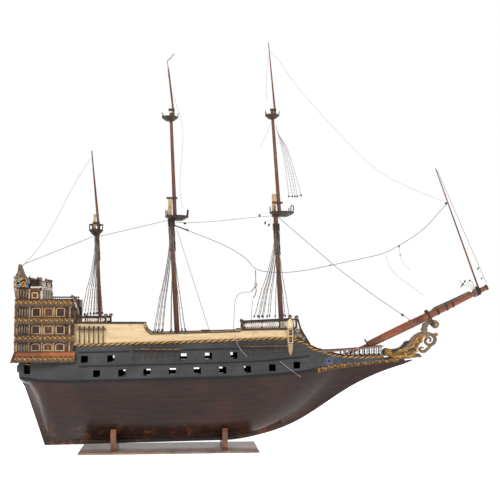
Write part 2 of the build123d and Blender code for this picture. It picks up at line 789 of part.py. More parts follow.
def build_upper_spars():
    spar("fore_topmast", (261.6, 0, 563), (244.4, 0, 812), 4.7, 3.6)
    spar("main_topmast", (8.8, 0, 551), (-2.6, 0, 804), 4.7, 3.6)
    spar("mizzen_topmast", (-171.5, 0, 518), (-190.8, 0, 708), 3.4, 1.2)
    spar("fore_topgallant_mast", (252.6, 0, 800), (235.5, 0, 984), 2.7, 1.0)
    with BuildPart() as main_topgallant_mast:
        rod((5.4, 0, 791), (-7, 0, 893), 2.7, 2.2)
        rod((-7, 0, 891), (-9.4, 0, 913), 2.5, 1.6)
        chain_of_rods([(-9.4, 0, 911), (-12, 0, 932), (-3, 0, 940), (4.5, 0, 951)], 0.9)
    finish(main_topgallant_mast, "main_topgallant_mast")


def build_top(name, centre, floor, radius, cone, posts, post_height, mast, topmast):
    """A round top: flared bowl, floor, rim and the rail posts that are left of its railing."""
    x = centre
    with BuildPart() as top:
        with BuildSketch(Plane.XZ):
            with BuildLine():
                Polyline((0, floor - cone), (radius * 0.42, floor - cone), (radius, floor - 1.5),
                         (radius, floor + 2), (radius - 2, floor + 2), (radius - 2, floor), (0, floor),
                         close=True)
            make_face()
        revolve(axis=Axis.Z)
    with BuildPart() as placed:
        add(Pos(x, 0, 0) * top.part)
        for angle in posts:
            px = x + (radius - 1.6) * math.cos(math.radians(angle))
            py = (radius - 1.6) * math.sin(math.radians(angle))
            rod((px, py, floor), (px + 1.5 * math.cos(math.radians(angle)), py, floor + post_height), 1.5,
                1.1)
        for hole in (mast, topmast):
            add(hole, mode=Mode.SUBTRACT)
    finish(placed, name)


def mast_sleeve(low, high, radius, masthead=None):
    """Clearance around a spar, and around a squared masthead beside it."""
    with BuildPart() as sleeve:
        rod(low, high, radius)
        if masthead:
            with Locations(masthead[0]):
                Box(masthead[1], masthead[1], 120)
    return sleeve.part


def build_tops():
    build_top("fore_top", 267.5, 562, 29, 9, (0, 45, -45, 135, -135, 180), 16,
              mast_sleeve(mast_point(*FORE_LINE, 520), mast_point(*FORE_LINE, 600), 6.1,
                          ((248.6, 0, 600), 10.4)),
              mast_sleeve((262.1, 0, 556), (252, 0, 702), 5.1))
    build_top("main_top", 13.6, 550, 27.5, 9, (0, 25, -25, 150, -150, 180), 16,
              mast_sleeve(mast_point(*MAIN_LINE, 520), mast_point(*MAIN_LINE, 590), 6.1,
                          ((-3, 0, 590), 9.9)),
              mast_sleeve((9, 0, 546), (2.5, 0, 690), 5.1))
    build_top("mizzen_top", -178, 515.5, 16, 12, (0, 60, 120, 180, 240, 300), 14,
              mast_sleeve(mast_point(*MIZZEN_LINE, 480), mast_point(*MIZZEN_LINE, 530), 4.6,
                          ((-181.5, 0, 560), 5.9)),
              mast_sleeve((-170.9, 0, 512), (-178.5, 0, 588), 3.8))

    with BuildPart() as mast_caps:
        for x, z, length, width in ((256.5, 587, 25, 14), (1.5, 595.5, 26, 13), (-177.6, 534, 16, 9)):
            with Locations((x, 0, z)):
                Box(length, width, 4)
        for x, z, radius in ((244, 797, 17), (-5, 787, 19)):
            with Locations((x, 0, z)):
                Cone(radius * 0.5, radius, 7)
            with Locations((x, 0, z + 5)):
                Cylinder(radius, 3)
                Cylinder(radius - 2, 3, mode=Mode.SUBTRACT)
        for x, z in ((247, 816), (-1, 811)):
            with Locations((x, 0, z)):
                Box(15, 8, 5)
        for clear in (mast_sleeve((261.6, 0, 563), (244.4, 0, 812), 4.9),
                      mast_sleeve((8.8, 0, 551), (-2.6, 0, 804), 4.9),
                      mast_sleeve((-171.5, 0, 518), (-190.8, 0, 708), 3.4),
                      mast_sleeve((253.5, 0, 790), (235.5, 0, 984), 2.8),
                      mast_sleeve((5.9, 0, 787), (-7, 0, 893), 2.9)):
            add(clear, mode=Mode.SUBTRACT)
        for head, size in (((248.6, 0, 600), 10.2), ((-3, 0, 560), 9.7), ((-181.5, 0, 550), 5.7)):
            with Locations(head):
                Box(size, size, 70, mode=Mode.SUBTRACT)
    finish(mast_caps, "mast_caps")


# ---------------------------------------------------------------- rigging held taut

def build_shrouds():
    with BuildPart() as shrouds:
        for line, head, radius, feet, height in (
                (FORE_LINE, 475, 6.3, (206, 214, 224, 244, 270, 279), 308),
                (MAIN_LINE, 512, 6.3, (-38, -29, -19.5, 1.5, 27, 35), 273),
                (MIZZEN_LINE, 494, 4.7, (-202, -195, -188, -182, -173.5, -166), 313)):
            for hand in (-1, 1):
                for index, foot in enumerate(feet):
                    top = Vector(*mast_point(*line, head - 4 * index)) + Vector(0, hand * (radius + 1), 0)
                    breadth = side(foot, height) - WALL - 1.5
                    rod(top, (foot, hand * breadth, height + 0.6 * index), SHROUD_RADIUS)
        strands = [(284.9, 605), (293.5, 605), (300.1, 605), (305.5, 605.5), (314.9, 608)]
        for index, (x, z) in enumerate(strands):
            spread = 4.5 * index
            chain_of_rods([(252.5 + 1.2 * index, 0, 780 - 5.5 * index), (268 + 3.2 * index, 0, 722),
                           (277.5 + 5.2 * index, 0, 668), (x, 0, z)], 0.5)
            with Locations((x, 0, z - 2)):
                Sphere(2)
    finish(shrouds, "shrouds")

    with BuildPart() as taut_stays:
        rod((-185.5, 0, 501), (-344.5, 3, 435.5), 0.6)
        rod((-171, 0, 501.6), (-8, 0, 541.5), 0.6)
        rod((656.3, 0, 672), (776, 0, 391.8), 0.5)
        rod((13.5, -6, 520), (98, -20, 258.6), 0.5)
    finish(taut_stays, "taut_stays")

    with BuildPart() as stay_tackle_hook:
        rod((203.4, 0, 423.2), (204.2, 0, 391), 0.9)
        with Locations(Location((204.2, 0, 387.4), (90, 0, 0))):
            Torus(3, 1)
        chain_of_rods([(204.2, 0, 384), (200.5, 0, 380.5), (191.5, 0, 369.5)], 1.1)
        chain_of_rods([(203.4, 0, 383), (205.2, 0, 374), (203.4, 0, 364.5), (197.8, 0, 355.5)], 1.1)
    finish(stay_tackle_hook, "stay_tackle_hook")


# ---------------------------------------------------------------- slack and broken lines

def cord(name, route, diameter):
    """A free line: straight runs joined by the largest tangent arcs that they allow."""
    runs = [Vector(*end) - Vector(*start) for start, end in zip(route, route[1:])]
    radii = []
    for before, after in zip(runs, runs[1:]):
        turn = math.radians(before.get_angle(after))
        radii.append(0.45 * min(before.length, after.length) / math.tan(turn / 2))
    with BuildPart() as tube:
        with BuildLine() as path:
            FilletPolyline(*route, radius=radii)
        with BuildSketch(Plane(origin=route[0], z_dir=runs[0])):
            Circle(diameter / 2)
        sweep()
    length = sum(edge.length for edge in path.edges())
    expected = math.pi * diameter * diameter / 4 * length
    print(name, "length", round(length, 1), "smallest radius", round(min(radii), 1),
          "volume ratio", round(tube.part.volume / expected, 4))
    finish(tube, name)


def in_plane(points, y=0):
    """Places side-view points on one vertical plane."""
    return [(x, y, z) for x, z in points]


CORDS = {
    "main_stay": in_plane([
        (8, 530), (42, 516.5), (80, 502.5), (120, 486), (156, 468.5), (184, 448)]) + [
        (199, -1, 428), (214, -4, 421), (240, -9.5, 417.5), (276, -10, 416.5), (320, -6, 421.5),
        (372, -2, 432)] + in_plane([
        (424, 443.5), (476, 454.5), (521, 465), (561, 487), (602, 511.5), (636, 541), (660, 569.5),
        (678.6, 588)]),
    "fore_stay": in_plane([
        (259.2, 551.3), (287.8, 527), (320.1, 499.8), (354.1, 470.3), (389.2, 440.5), (426, 411.3),
        (464.5, 382.7), (503.8, 354.6), (542.9, 328.9), (581.2, 303.4)]),
    "fore_topgallant_stay": in_plane([
        (239.4, 962.5), (257, 948), (281, 910), (312, 869), (350, 824.5), (390, 782), (431, 739.5),
        (470, 698.5), (508, 668), (548, 644.5), (590, 626), (634, 608.5), (676.6, 592.4)]),
    "main_fore_stay": in_plane([
        (7, 537), (52, 536.4), (100, 539.5), (150, 545.2), (200, 551), (242.9, 554.6)]),
    "mizzen_backstay": in_plane([
        (-192, 691), (-217, 651), (-241.5, 606.5), (-265, 556), (-288.5, 509), (-320, 460),
        (-344, 435.6)]),
    "main_loose_line": in_plane([
        (1.4, 851), (9.8, 826), (18.5, 802.5), (24.5, 779.5), (27.5, 753), (26.5, 722), (24, 690),
        (21, 657), (20, 625), (22.5, 597), (26.5, 573)]),
    "fore_loose_line": in_plane([
        (241.4, 783.5), (235.5, 767), (228.5, 751.5), (221, 736.5), (214, 723.5)]),
    "fore_thread_bundle": in_plane([
        (235.6, 951), (232.6, 925), (230.6, 897), (229.8, 868), (230.6, 842)]),
    "hook_fall_aft": in_plane([
        (189.6, 368.8), (177.5, 370.5), (165.5, 367.5), (157, 359), (153.8, 346), (152.8, 330),
        (151.6, 312), (150.8, 294), (150.4, 276), (151, 259.4)]),
    "hook_fall_fore": in_plane([
        (197.2, 353), (195.2, 338), (193.6, 320), (193.3, 302), (194, 288), (195.2, 278)]),
    "dangling_thread_aft": in_plane([
        (524, 461.5), (528, 445), (535.5, 429), (547, 413), (565, 399), (584, 387.5), (601, 375),
        (616, 362.5)]),
    "dangling_thread_fore": in_plane([
        (557.5, 482.4), (558.5, 468), (560.5, 454), (566, 441.5), (575, 431.5), (585, 425.5)]),
    "side_thread_waist": [
        (146, -84, 276), (150, -86.5, 258), (158, -89.5, 240), (167, -92, 229), (175.5, -92.5, 221)],
    "side_thread_bow": [
        (252.5, -82, 209.5), (265, -80.5, 198.5), (280, -77, 188), (291, -75, 179.5), (301, -73, 173)],
}
THICK_CORDS = ("main_stay", "fore_stay", "mizzen_backstay")


# ---------------------------------------------------------------- the whole ship

build_stand()
build_backbone()
build_hull_bottom()
build_topsides()
build_trim()
build_balustrades()
build_decks()
build_galleries()
build_stern()
build_channels()
build_catheads()
build_bowsprit_fittings()
build_head()
build_upper_spars()
build_tops()
build_shrouds()
for cord_name, cord_route in CORDS.items():
    cord(cord_name, cord_route, STAY_DIAMETER if cord_name in THICK_CORDS else THREAD_DIAMETER)
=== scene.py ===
import json
import math
import random

import bmesh
import bpy
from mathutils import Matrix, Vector

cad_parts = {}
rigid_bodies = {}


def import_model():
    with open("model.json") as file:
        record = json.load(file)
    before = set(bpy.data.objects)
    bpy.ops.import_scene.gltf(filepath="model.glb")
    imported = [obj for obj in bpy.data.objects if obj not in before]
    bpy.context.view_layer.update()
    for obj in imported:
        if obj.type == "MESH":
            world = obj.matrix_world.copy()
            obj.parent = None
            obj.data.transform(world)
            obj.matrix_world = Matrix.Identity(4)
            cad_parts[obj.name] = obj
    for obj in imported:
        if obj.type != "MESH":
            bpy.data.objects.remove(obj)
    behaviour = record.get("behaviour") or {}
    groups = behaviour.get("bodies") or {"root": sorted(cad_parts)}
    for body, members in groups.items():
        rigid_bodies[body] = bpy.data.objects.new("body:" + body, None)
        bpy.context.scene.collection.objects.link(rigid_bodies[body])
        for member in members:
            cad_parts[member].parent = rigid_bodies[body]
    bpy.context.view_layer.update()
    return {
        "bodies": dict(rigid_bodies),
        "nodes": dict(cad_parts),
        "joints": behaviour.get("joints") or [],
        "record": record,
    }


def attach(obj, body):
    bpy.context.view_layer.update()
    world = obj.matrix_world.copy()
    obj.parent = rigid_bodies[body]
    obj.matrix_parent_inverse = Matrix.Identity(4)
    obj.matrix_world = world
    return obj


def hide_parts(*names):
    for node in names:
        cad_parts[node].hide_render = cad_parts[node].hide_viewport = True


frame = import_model()
NODES = frame["nodes"]
MM = 0.001
rng = random.Random(7)
ROOM_LIGHT = 0.42
FLOOR_GREY = 0.93

# ---------------------------------------------------------------- camera, light and floor


def add_camera():
    data = bpy.data.cameras.new("camera")
    data.lens = 59.76
    data.sensor_width = 36
    camera = bpy.data.objects.new("camera", data)
    camera.location = (0.02195, -1.99293, 0.327)
    camera.rotation_euler = (math.radians(94.13), 0, math.radians(-4.82))
    bpy.context.scene.collection.objects.link(camera)
    bpy.context.scene.camera = camera


def add_light(name, place, aim, size, power):
    data = bpy.data.lights.new(name, "AREA")
    data.shape = "SQUARE"
    data.size = size
    data.energy = power
    light = bpy.data.objects.new(name, data)
    light.location = place
    light.rotation_euler = (Vector(aim) - Vector(place)).to_track_quat("-Z", "Y").to_euler()
    bpy.context.scene.collection.objects.link(light)


def add_room():
    """White backdrop for the camera and dimmer soft room light for the object."""
    world = bpy.data.worlds.new("studio")
    world.use_nodes = True
    nodes = world.node_tree.nodes
    links = world.node_tree.links
    room = nodes["Background"]
    room.inputs["Color"].default_value = (1, 1, 1, 1)
    room.inputs["Strength"].default_value = ROOM_LIGHT
    backdrop = nodes.new("ShaderNodeBackground")
    backdrop.inputs["Color"].default_value = (1, 1, 1, 1)
    path = nodes.new("ShaderNodeLightPath")
    choice = nodes.new("ShaderNodeMixShader")
    links.new(path.outputs["Is Camera Ray"], choice.inputs["Fac"])
    links.new(room.outputs["Background"], choice.inputs[1])
    links.new(backdrop.outputs["Background"], choice.inputs[2])
    links.new(choice.outputs["Shader"], nodes["World Output"].inputs["Surface"])
    bpy.context.scene.world = world
    bpy.context.scene.view_settings.view_transform = "Standard"


def add_floor():
    """Wide white floor that glows just enough to meet the backdrop without an edge."""
    mesh = bpy.data.meshes.new("floor")
    half = 60
    mesh.from_pydata([(-half, -half, 0), (half, -half, 0), (half, half, 0), (-half, half, 0)], [],
                     [(0, 1, 2, 3)])
    floor = bpy.data.objects.new("floor", mesh)
    bpy.context.scene.collection.objects.link(floor)
    paint = bpy.data.materials.new("floor_paint")
    paint.use_nodes = True
    shader = paint.node_tree.nodes["Principled BSDF"]
    shader.inputs["Base Color"].default_value = (FLOOR_GREY, FLOOR_GREY, FLOOR_GREY, 1)
    shader.inputs["Roughness"].default_value = 0.9
    shader.inputs["Specular IOR Level"].default_value = 0
    shader.inputs["Emission Color"].default_value = (1, 1, 1, 1)
    shader.inputs["Emission Strength"].default_value = 1 - FLOOR_GREY * ROOM_LIGHT
    mesh.materials.append(paint)


add_camera()
add_room()
add_floor()
add_light("key", (-1.4, -2.2, 2.4), (0, 0, 0.4), 1.6, 92)
add_light("fill", (1.9, -2.0, 1.2), (0, 0, 0.35), 1.8, 24)
add_light("back", (0.4, 2.4, 2.0), (0, 0, 0.4), 1.8, 40)

# ---------------------------------------------------------------- cords: routes in metres

CORDS = {
    "main_stay": [
        (0.008, 0, 0.530), (0.042, 0, 0.5165), (0.080, 0, 0.5025), (0.120, 0, 0.486),
        (0.156, 0, 0.4685), (0.184, 0, 0.448), (0.199, -0.001, 0.428), (0.214, -0.004, 0.421),
        (0.240, -0.0095, 0.4175), (0.276, -0.010, 0.4165), (0.320, -0.006, 0.4215),
        (0.372, -0.002, 0.432), (0.424, 0, 0.4435), (0.476, 0, 0.4545), (0.521, 0, 0.465),
        (0.561, 0, 0.487), (0.602, 0, 0.5115), (0.636, 0, 0.541), (0.660, 0, 0.5695),
        (0.6786, 0, 0.588)],
    "fore_stay": [
        (0.2592, 0, 0.5513), (0.2878, 0, 0.527), (0.3201, 0, 0.4998), (0.3541, 0, 0.4703),
        (0.3892, 0, 0.4405), (0.426, 0, 0.4113), (0.4645, 0, 0.3827), (0.5038, 0, 0.3546),
        (0.5429, 0, 0.3289), (0.5812, 0, 0.3034)],
    "fore_topgallant_stay": [
        (0.2394, 0, 0.9625), (0.257, 0, 0.948), (0.281, 0, 0.910), (0.312, 0, 0.869),
        (0.350, 0, 0.8245), (0.390, 0, 0.782), (0.431, 0, 0.7395), (0.470, 0, 0.6985),
        (0.508, 0, 0.668), (0.548, 0, 0.6445), (0.590, 0, 0.626), (0.634, 0, 0.6085),
        (0.6766, 0, 0.5924)],
    "main_fore_stay": [
        (0.007, 0, 0.537), (0.052, 0, 0.5364), (0.100, 0, 0.5395), (0.150, 0, 0.5452),
        (0.200, 0, 0.551), (0.2429, 0, 0.5546)],
    "mizzen_backstay": [
        (-0.192, 0, 0.691), (-0.217, 0, 0.651), (-0.2415, 0, 0.6065), (-0.265, 0, 0.556),
        (-0.2885, 0, 0.509), (-0.320, 0, 0.460), (-0.344, 0, 0.4356)],
    "main_loose_line": [
        (0.0014, 0, 0.851), (0.0098, 0, 0.826), (0.0185, 0, 0.8025), (0.0245, 0, 0.7795),
        (0.0275, 0, 0.753), (0.0265, 0, 0.722), (0.024, 0, 0.690), (0.021, 0, 0.657),
        (0.020, 0, 0.625), (0.0225, 0, 0.597), (0.0265, 0, 0.573)],
    "fore_loose_line": [
        (0.2414, 0, 0.7835), (0.2355, 0, 0.767), (0.2285, 0, 0.7515), (0.221, 0, 0.7365),
        (0.214, 0, 0.7235)],
    "fore_thread_bundle": [
        (0.2356, 0, 0.951), (0.2326, 0, 0.925), (0.2306, 0, 0.897), (0.2298, 0, 0.868),
        (0.2306, 0, 0.842)],
    "hook_fall_aft": [
        (0.1896, 0, 0.3688), (0.1775, 0, 0.3705), (0.1655, 0, 0.3675), (0.157, 0, 0.359),
        (0.1538, 0, 0.346), (0.1528, 0, 0.330), (0.1516, 0, 0.312), (0.1508, 0, 0.294),
        (0.1504, 0, 0.276), (0.151, 0, 0.2594)],
    "hook_fall_fore": [
        (0.1972, 0, 0.353), (0.1952, 0, 0.338), (0.1936, 0, 0.320), (0.1933, 0, 0.302),
        (0.194, 0, 0.288), (0.1952, 0, 0.278)],
    "dangling_thread_aft": [
        (0.524, 0, 0.4615), (0.528, 0, 0.445), (0.5355, 0, 0.429), (0.547, 0, 0.413),
        (0.565, 0, 0.399), (0.584, 0, 0.3875), (0.601, 0, 0.375), (0.616, 0, 0.3625)],
    "dangling_thread_fore": [
        (0.5575, 0, 0.4824), (0.5585, 0, 0.468), (0.5605, 0, 0.454), (0.566, 0, 0.4415),
        (0.575, 0, 0.4315), (0.585, 0, 0.4255)],
    "side_thread_waist": [
        (0.146, -0.084, 0.276), (0.150, -0.0865, 0.258), (0.158, -0.0895, 0.240),
        (0.167, -0.092, 0.229), (0.1755, -0.0925, 0.221)],
    "side_thread_bow": [
        (0.2525, -0.082, 0.2095), (0.265, -0.0805, 0.1985), (0.280, -0.077, 0.188),
        (0.291, -0.075, 0.1795), (0.301, -0.073, 0.173)],
}
CORD_FACTS = {  # length in metres, diameter, what is at the far end, how it lies
    "main_stay": (0.7495, 0.0012, "object", "hanging"),
    "fore_stay": (0.4069, 0.0012, "object", "taut"),
    "fore_topgallant_stay": (0.5852, 0.0009, "object", "hanging"),
    "main_fore_stay": (0.2395, 0.0009, "object", "taut"),
    "mizzen_backstay": (0.2985, 0.0012, "object", "hanging"),
    "main_loose_line": (0.283, 0.0009, "object", "hanging"),
    "fore_loose_line": (0.0661, 0.0009, "bare", "hanging"),
    "fore_thread_bundle": (0.1093, 0.0009, "bare", "hanging"),
    "hook_fall_aft": (0.136, 0.0009, "object", "hanging"),
    "hook_fall_fore": (0.0753, 0.0009, "object", "hanging"),
    "dangling_thread_aft": (0.1397, 0.0009, "bare", "hanging"),
    "dangling_thread_fore": (0.0671, 0.0009, "bare", "hanging"),
    "side_thread_waist": (0.0645, 0.0009, "bare", "hanging"),
    "side_thread_bow": (0.0615, 0.0009, "bare", "hanging"),
}

# ---------------------------------------------------------------- materials


class Finish:
    """A procedural material under construction, with short calls for the nodes it uses."""

    def __init__(self, name, roughness=0.5, specular=0.3, metallic=0.0, coat=0.0):
        self.material = bpy.data.materials.new(name)
        self.material.use_nodes = True
        self.tree = self.material.node_tree
        self.shader = self.tree.nodes["Principled BSDF"]
        for socket, value in (("Roughness", roughness), ("Specular IOR Level", specular),
                              ("Metallic", metallic), ("Coat Weight", coat), ("Coat Roughness", 0.18)):
            self.shader.inputs[socket].default_value = value
        self.place = self.node("ShaderNodeTexCoord").outputs["Object"]

    def node(self, kind, sockets=None, **values):
        """New node with these attributes and, by socket name or number, these inputs."""
        made = self.tree.nodes.new(kind)
        for key, value in values.items():
            setattr(made, key, value)
        for key, value in (sockets or {}).items():
            self.feed(made.inputs[key], value)
        return made

    def feed(self, socket, source):
        if isinstance(source, bpy.types.NodeSocket):
            self.tree.links.new(source, socket)
        else:
            socket.default_value = source

    def stretched(self, scale):
        return self.node("ShaderNodeMapping", {"Scale": scale, "Vector": self.place}).outputs["Vector"]

    def noise(self, scale, detail=5, rough=0.6, vector=None, distortion=0.0):
        return self.node("ShaderNodeTexNoise", {
            "Scale": scale, "Detail": detail, "Roughness": rough, "Distortion": distortion,
            "Vector": self.place if vector is None else vector}).outputs["Fac"]

    def axis(self, name):
        return self.node("ShaderNodeSeparateXYZ", {"Vector": self.place}).outputs[name]

    def maths(self, operation, first, second=0.0):
        return self.node("ShaderNodeMath", {0: first, 1: second}, operation=operation).outputs["Value"]

    def step(self, value, low, high):
        return self.node("ShaderNodeMapRange", {"Value": value, "From Min": low, "From Max": high},
                         interpolation_type="SMOOTHSTEP").outputs["Result"]

    def spots(self, scale, low, high, detail=6, rough=0.7):
        """1 on the blotches of a noise above high, 0 below low."""
        return self.step(self.noise(scale, detail, rough), low, high)

    def ramp(self, value, *stops):
        made = self.node("ShaderNodeValToRGB", {"Fac": value})
        elements = made.color_ramp.elements
        while len(elements) < len(stops):
            elements.new(0.5)
        for element, (position, colour) in zip(elements, stops):
            element.position = position
            element.color = (*colour, 1)
        return made.outputs["Color"]

    def over(self, base, colour, mask, share=None):
        """Base with a colour laid over it where the mask is 1, at that share of its strength."""
        if share is not None:
            mask = self.maths("MULTIPLY", mask, share)
        if not isinstance(colour, bpy.types.NodeSocket):
            colour = (*colour, 1)
        return self.node("ShaderNodeMix", {"Factor": mask, "A": base, "B": colour},
                         data_type="RGBA", blend_type="MIX").outputs["Result"]

    def seams(self, pitch, width):
        """1 on the thin seams between planks that rise with the sheer, warped a little."""
        warp = self.maths("MULTIPLY", self.noise(3, detail=1), 0.004)
        run = self.maths("MULTIPLY", self.axis("X"), -0.0215)
        height = self.maths("ADD", self.axis("Z"), self.maths("ADD", warp, run))
        share = self.maths("FRACT", self.maths("DIVIDE", height, pitch))
        near = self.maths("ABSOLUTE", self.maths("SUBTRACT", share, 0.5))
        return self.step(near, 0.5 - width, 0.5)

    def relief(self, height, distance, strength=1.0):
        made = self.node("ShaderNodeBump", {"Distance": distance, "Strength": strength, "Height": height})
        self.feed(self.shader.inputs["Normal"], made.outputs["Normal"])

    def planked_relief(self, fibres, seam, distance):
        """Shallow grain with a groove at every plank seam."""
        self.relief(self.maths("SUBTRACT", self.maths("MULTIPLY", fibres, 0.25), seam), distance, 0.5)

    def colour(self, source):
        self.feed(self.shader.inputs["Base Color"], source)

    def rough(self, value, low, high):
        made = self.node("ShaderNodeMapRange", {"Value": value, "To Min": low, "To Max": high})
        self.feed(self.shader.inputs["Roughness"], made.outputs["Result"])


def shade(colour, share):
    """The colour made darker or lighter."""
    return tuple(min(1, part * share) for part in colour)


def grained(name, dark, light, grain, roughness=(0.3, 0.5), worn=None, coat=0.0):
    """Wood with grain stretched along one axis, uneven stain and, if wanted, worn patches."""
    made = Finish(name, coat=coat)
    fibres = made.noise(1, detail=8, vector=made.stretched(grain), distortion=0.6)
    base = made.ramp(fibres, (0.3, dark), (0.7, light))
    base = made.over(base, shade(dark, 0.62), made.spots(14, 0.35, 0.75, 4, 0.6))
    if worn:
        base = made.over(base, worn, made.spots(45, 0.6, 0.72))
    made.colour(base)
    made.rough(made.noise(60, detail=3), *roughness)
    made.relief(fibres, 0.0002, 0.5)
    return made.material


def hull_varnish():
    """Nearly black-red varnish with plank seams, rubbed to a warmer brown low on the hull."""
    made = Finish("hull", specular=0.22, coat=0.1)
    fibres = made.noise(1, detail=8, vector=made.stretched((9, 160, 160)), distortion=0.8)
    base = made.ramp(fibres, (0.3, (0.011, 0.0055, 0.0045)), (0.72, (0.028, 0.0135, 0.0105)))
    base = made.over(base, (0.05, 0.0155, 0.01), made.spots(7, 0.45, 0.75, 5, 0.65))
    low = made.step(made.axis("Z"), 0.085, 0.02)
    base = made.over(base, (0.16, 0.055, 0.022), low, made.spots(38, 0.5, 0.66, 7, 0.72))
    base = made.over(base, (0.13, 0.06, 0.035), made.spots(90, 0.69, 0.76, 4), 0.4)
    seam = made.seams(0.0135, 0.05)
    made.colour(made.over(base, (0.012, 0.005, 0.004), seam, 0.75))
    made.rough(made.noise(26, detail=6, rough=0.7), 0.16, 0.5)
    made.planked_relief(fibres, seam, 0.0006)
    return made.material


def topside_paint():
    """Grey-black paint up to the rope moulding, warm cream bulwarks above it."""
    made = Finish("topside")
    fibres = made.noise(1, detail=8, vector=made.stretched((12, 170, 170)), distortion=0.7)
    grey = made.ramp(made.noise(11, detail=6, rough=0.7), (0.3, (0.018, 0.0183, 0.0195)),
                     (0.55, (0.037, 0.037, 0.038)), (0.75, (0.06, 0.057, 0.055)))
    bow = made.step(made.axis("X"), 0.28, 0.34)
    blue = made.maths("MULTIPLY", made.spots(22, 0.5, 0.66, 5), 0.75)
    grey = made.over(grey, (0.085, 0.1, 0.175), bow, blue)
    grey = made.over(grey, (0.09, 0.052, 0.032), made.spots(70, 0.63, 0.7, rough=0.75), 0.45)
    seam = made.seams(0.0125, 0.06)
    grey = made.over(grey, (0.008, 0.008, 0.008), seam, 0.8)
    cream = made.ramp(fibres, (0.28, (0.43, 0.3, 0.155)), (0.7, (0.6, 0.46, 0.27)))
    cream = made.over(cream, (0.27, 0.15, 0.07), made.spots(32, 0.52, 0.72), 0.6)
    rise = made.maths("MULTIPLY", made.axis("X"), 0.0295)
    level = made.maths("SUBTRACT", made.axis("Z"), rise)
    above = made.step(level, 0.2528, 0.2534)
    behind = made.step(made.axis("X"), 0.302, 0.300)
    made.colour(made.over(grey, cream, above, behind))
    made.rough(made.noise(40, detail=5), 0.32, 0.6)
    made.planked_relief(fibres, seam, 0.0005)
    return made.material


def gilt(name, gold, brown, scale, share):
    """Old gold paint rubbed through to brown in the hollows."""
    made = Finish(name, metallic=0.15)
    patches = made.noise(scale, detail=7, rough=0.72)
    base = made.ramp(patches, (share - 0.12, brown), (share + 0.04, gold), (share + 0.3, shade(gold, 1.45)))
    made.colour(made.over(base, shade(brown, 0.5), made.spots(scale * 5, 0.58, 0.7, 3, 0.6), 0.5))
    made.rough(patches, 0.3, 0.62)
    made.relief(made.noise(scale * 3, detail=5), 0.0005, 0.6)
    return made.material


def plain_paint(name, dark, light, worn, roughness=(0.35, 0.6)):
    """Uneven old paint with small bare spots."""
    made = Finish(name)
    cloud = made.noise(35, detail=7, rough=0.7)
    base = made.ramp(cloud, (0.35, dark), (0.68, light))
    made.colour(made.over(base, worn, made.spots(160, 0.62, 0.7, rough=0.75), 0.6))
    made.rough(cloud, *roughness)
    made.relief(made.noise(220, detail=5), 0.0002, 0.5)
    return made.material


def masthead_wood(name, split):
    """Reddish-brown lower mast that turns to bare tan wood above the height split."""
    made = Finish(name, coat=0.12)
    fibres = made.noise(1, detail=8, vector=made.stretched((420, 420, 14)), distortion=0.5)
    dark = (0.05, 0.016, 0.01)
    red = made.ramp(fibres, (0.3, dark), (0.7, (0.13, 0.045, 0.025)))
    tan = made.ramp(fibres, (0.3, (0.27, 0.17, 0.085)), (0.72, (0.48, 0.34, 0.19)))
    base = made.over(red, tan, made.step(made.axis("Z"), split - 0.001, split + 0.001))
    made.colour(made.over(base, shade(dark, 0.5), made.spots(55, 0.52, 0.72), 0.55))
    made.rough(made.noise(80), 0.3, 0.55)
    made.relief(fibres, 0.0003, 0.5)
    return made.material


def thread(name, dark, light):
    """Twisted cotton or hemp thread."""
    made = Finish(name, roughness=0.85, specular=0.2)
    pitch = 0.0011
    lay = made.node("ShaderNodeTexWave", {"Scale": 0.32 / pitch, "Distortion": 2.5, "Vector": made.place},
                    bands_direction="DIAGONAL").outputs["Fac"]
    base = made.ramp(made.noise(120, detail=5), (0.3, dark), (0.7, light))
    made.colour(made.over(base, shade(dark, 0.55), lay, 0.4))
    made.relief(lay, 0.00025, 0.7)
    return made.material


def metal(name, dark, light, roughness):
    """Dull metal with a cloudy surface."""
    made = Finish(name, metallic=0.85)
    cloud = made.noise(150, detail=6, rough=0.7)
    made.colour(made.ramp(cloud, (0.3, dark), (0.7, light)))
    made.rough(cloud, *roughness)
    made.relief(made.noise(500, detail=3), 0.0001, 0.4)
    return made.material


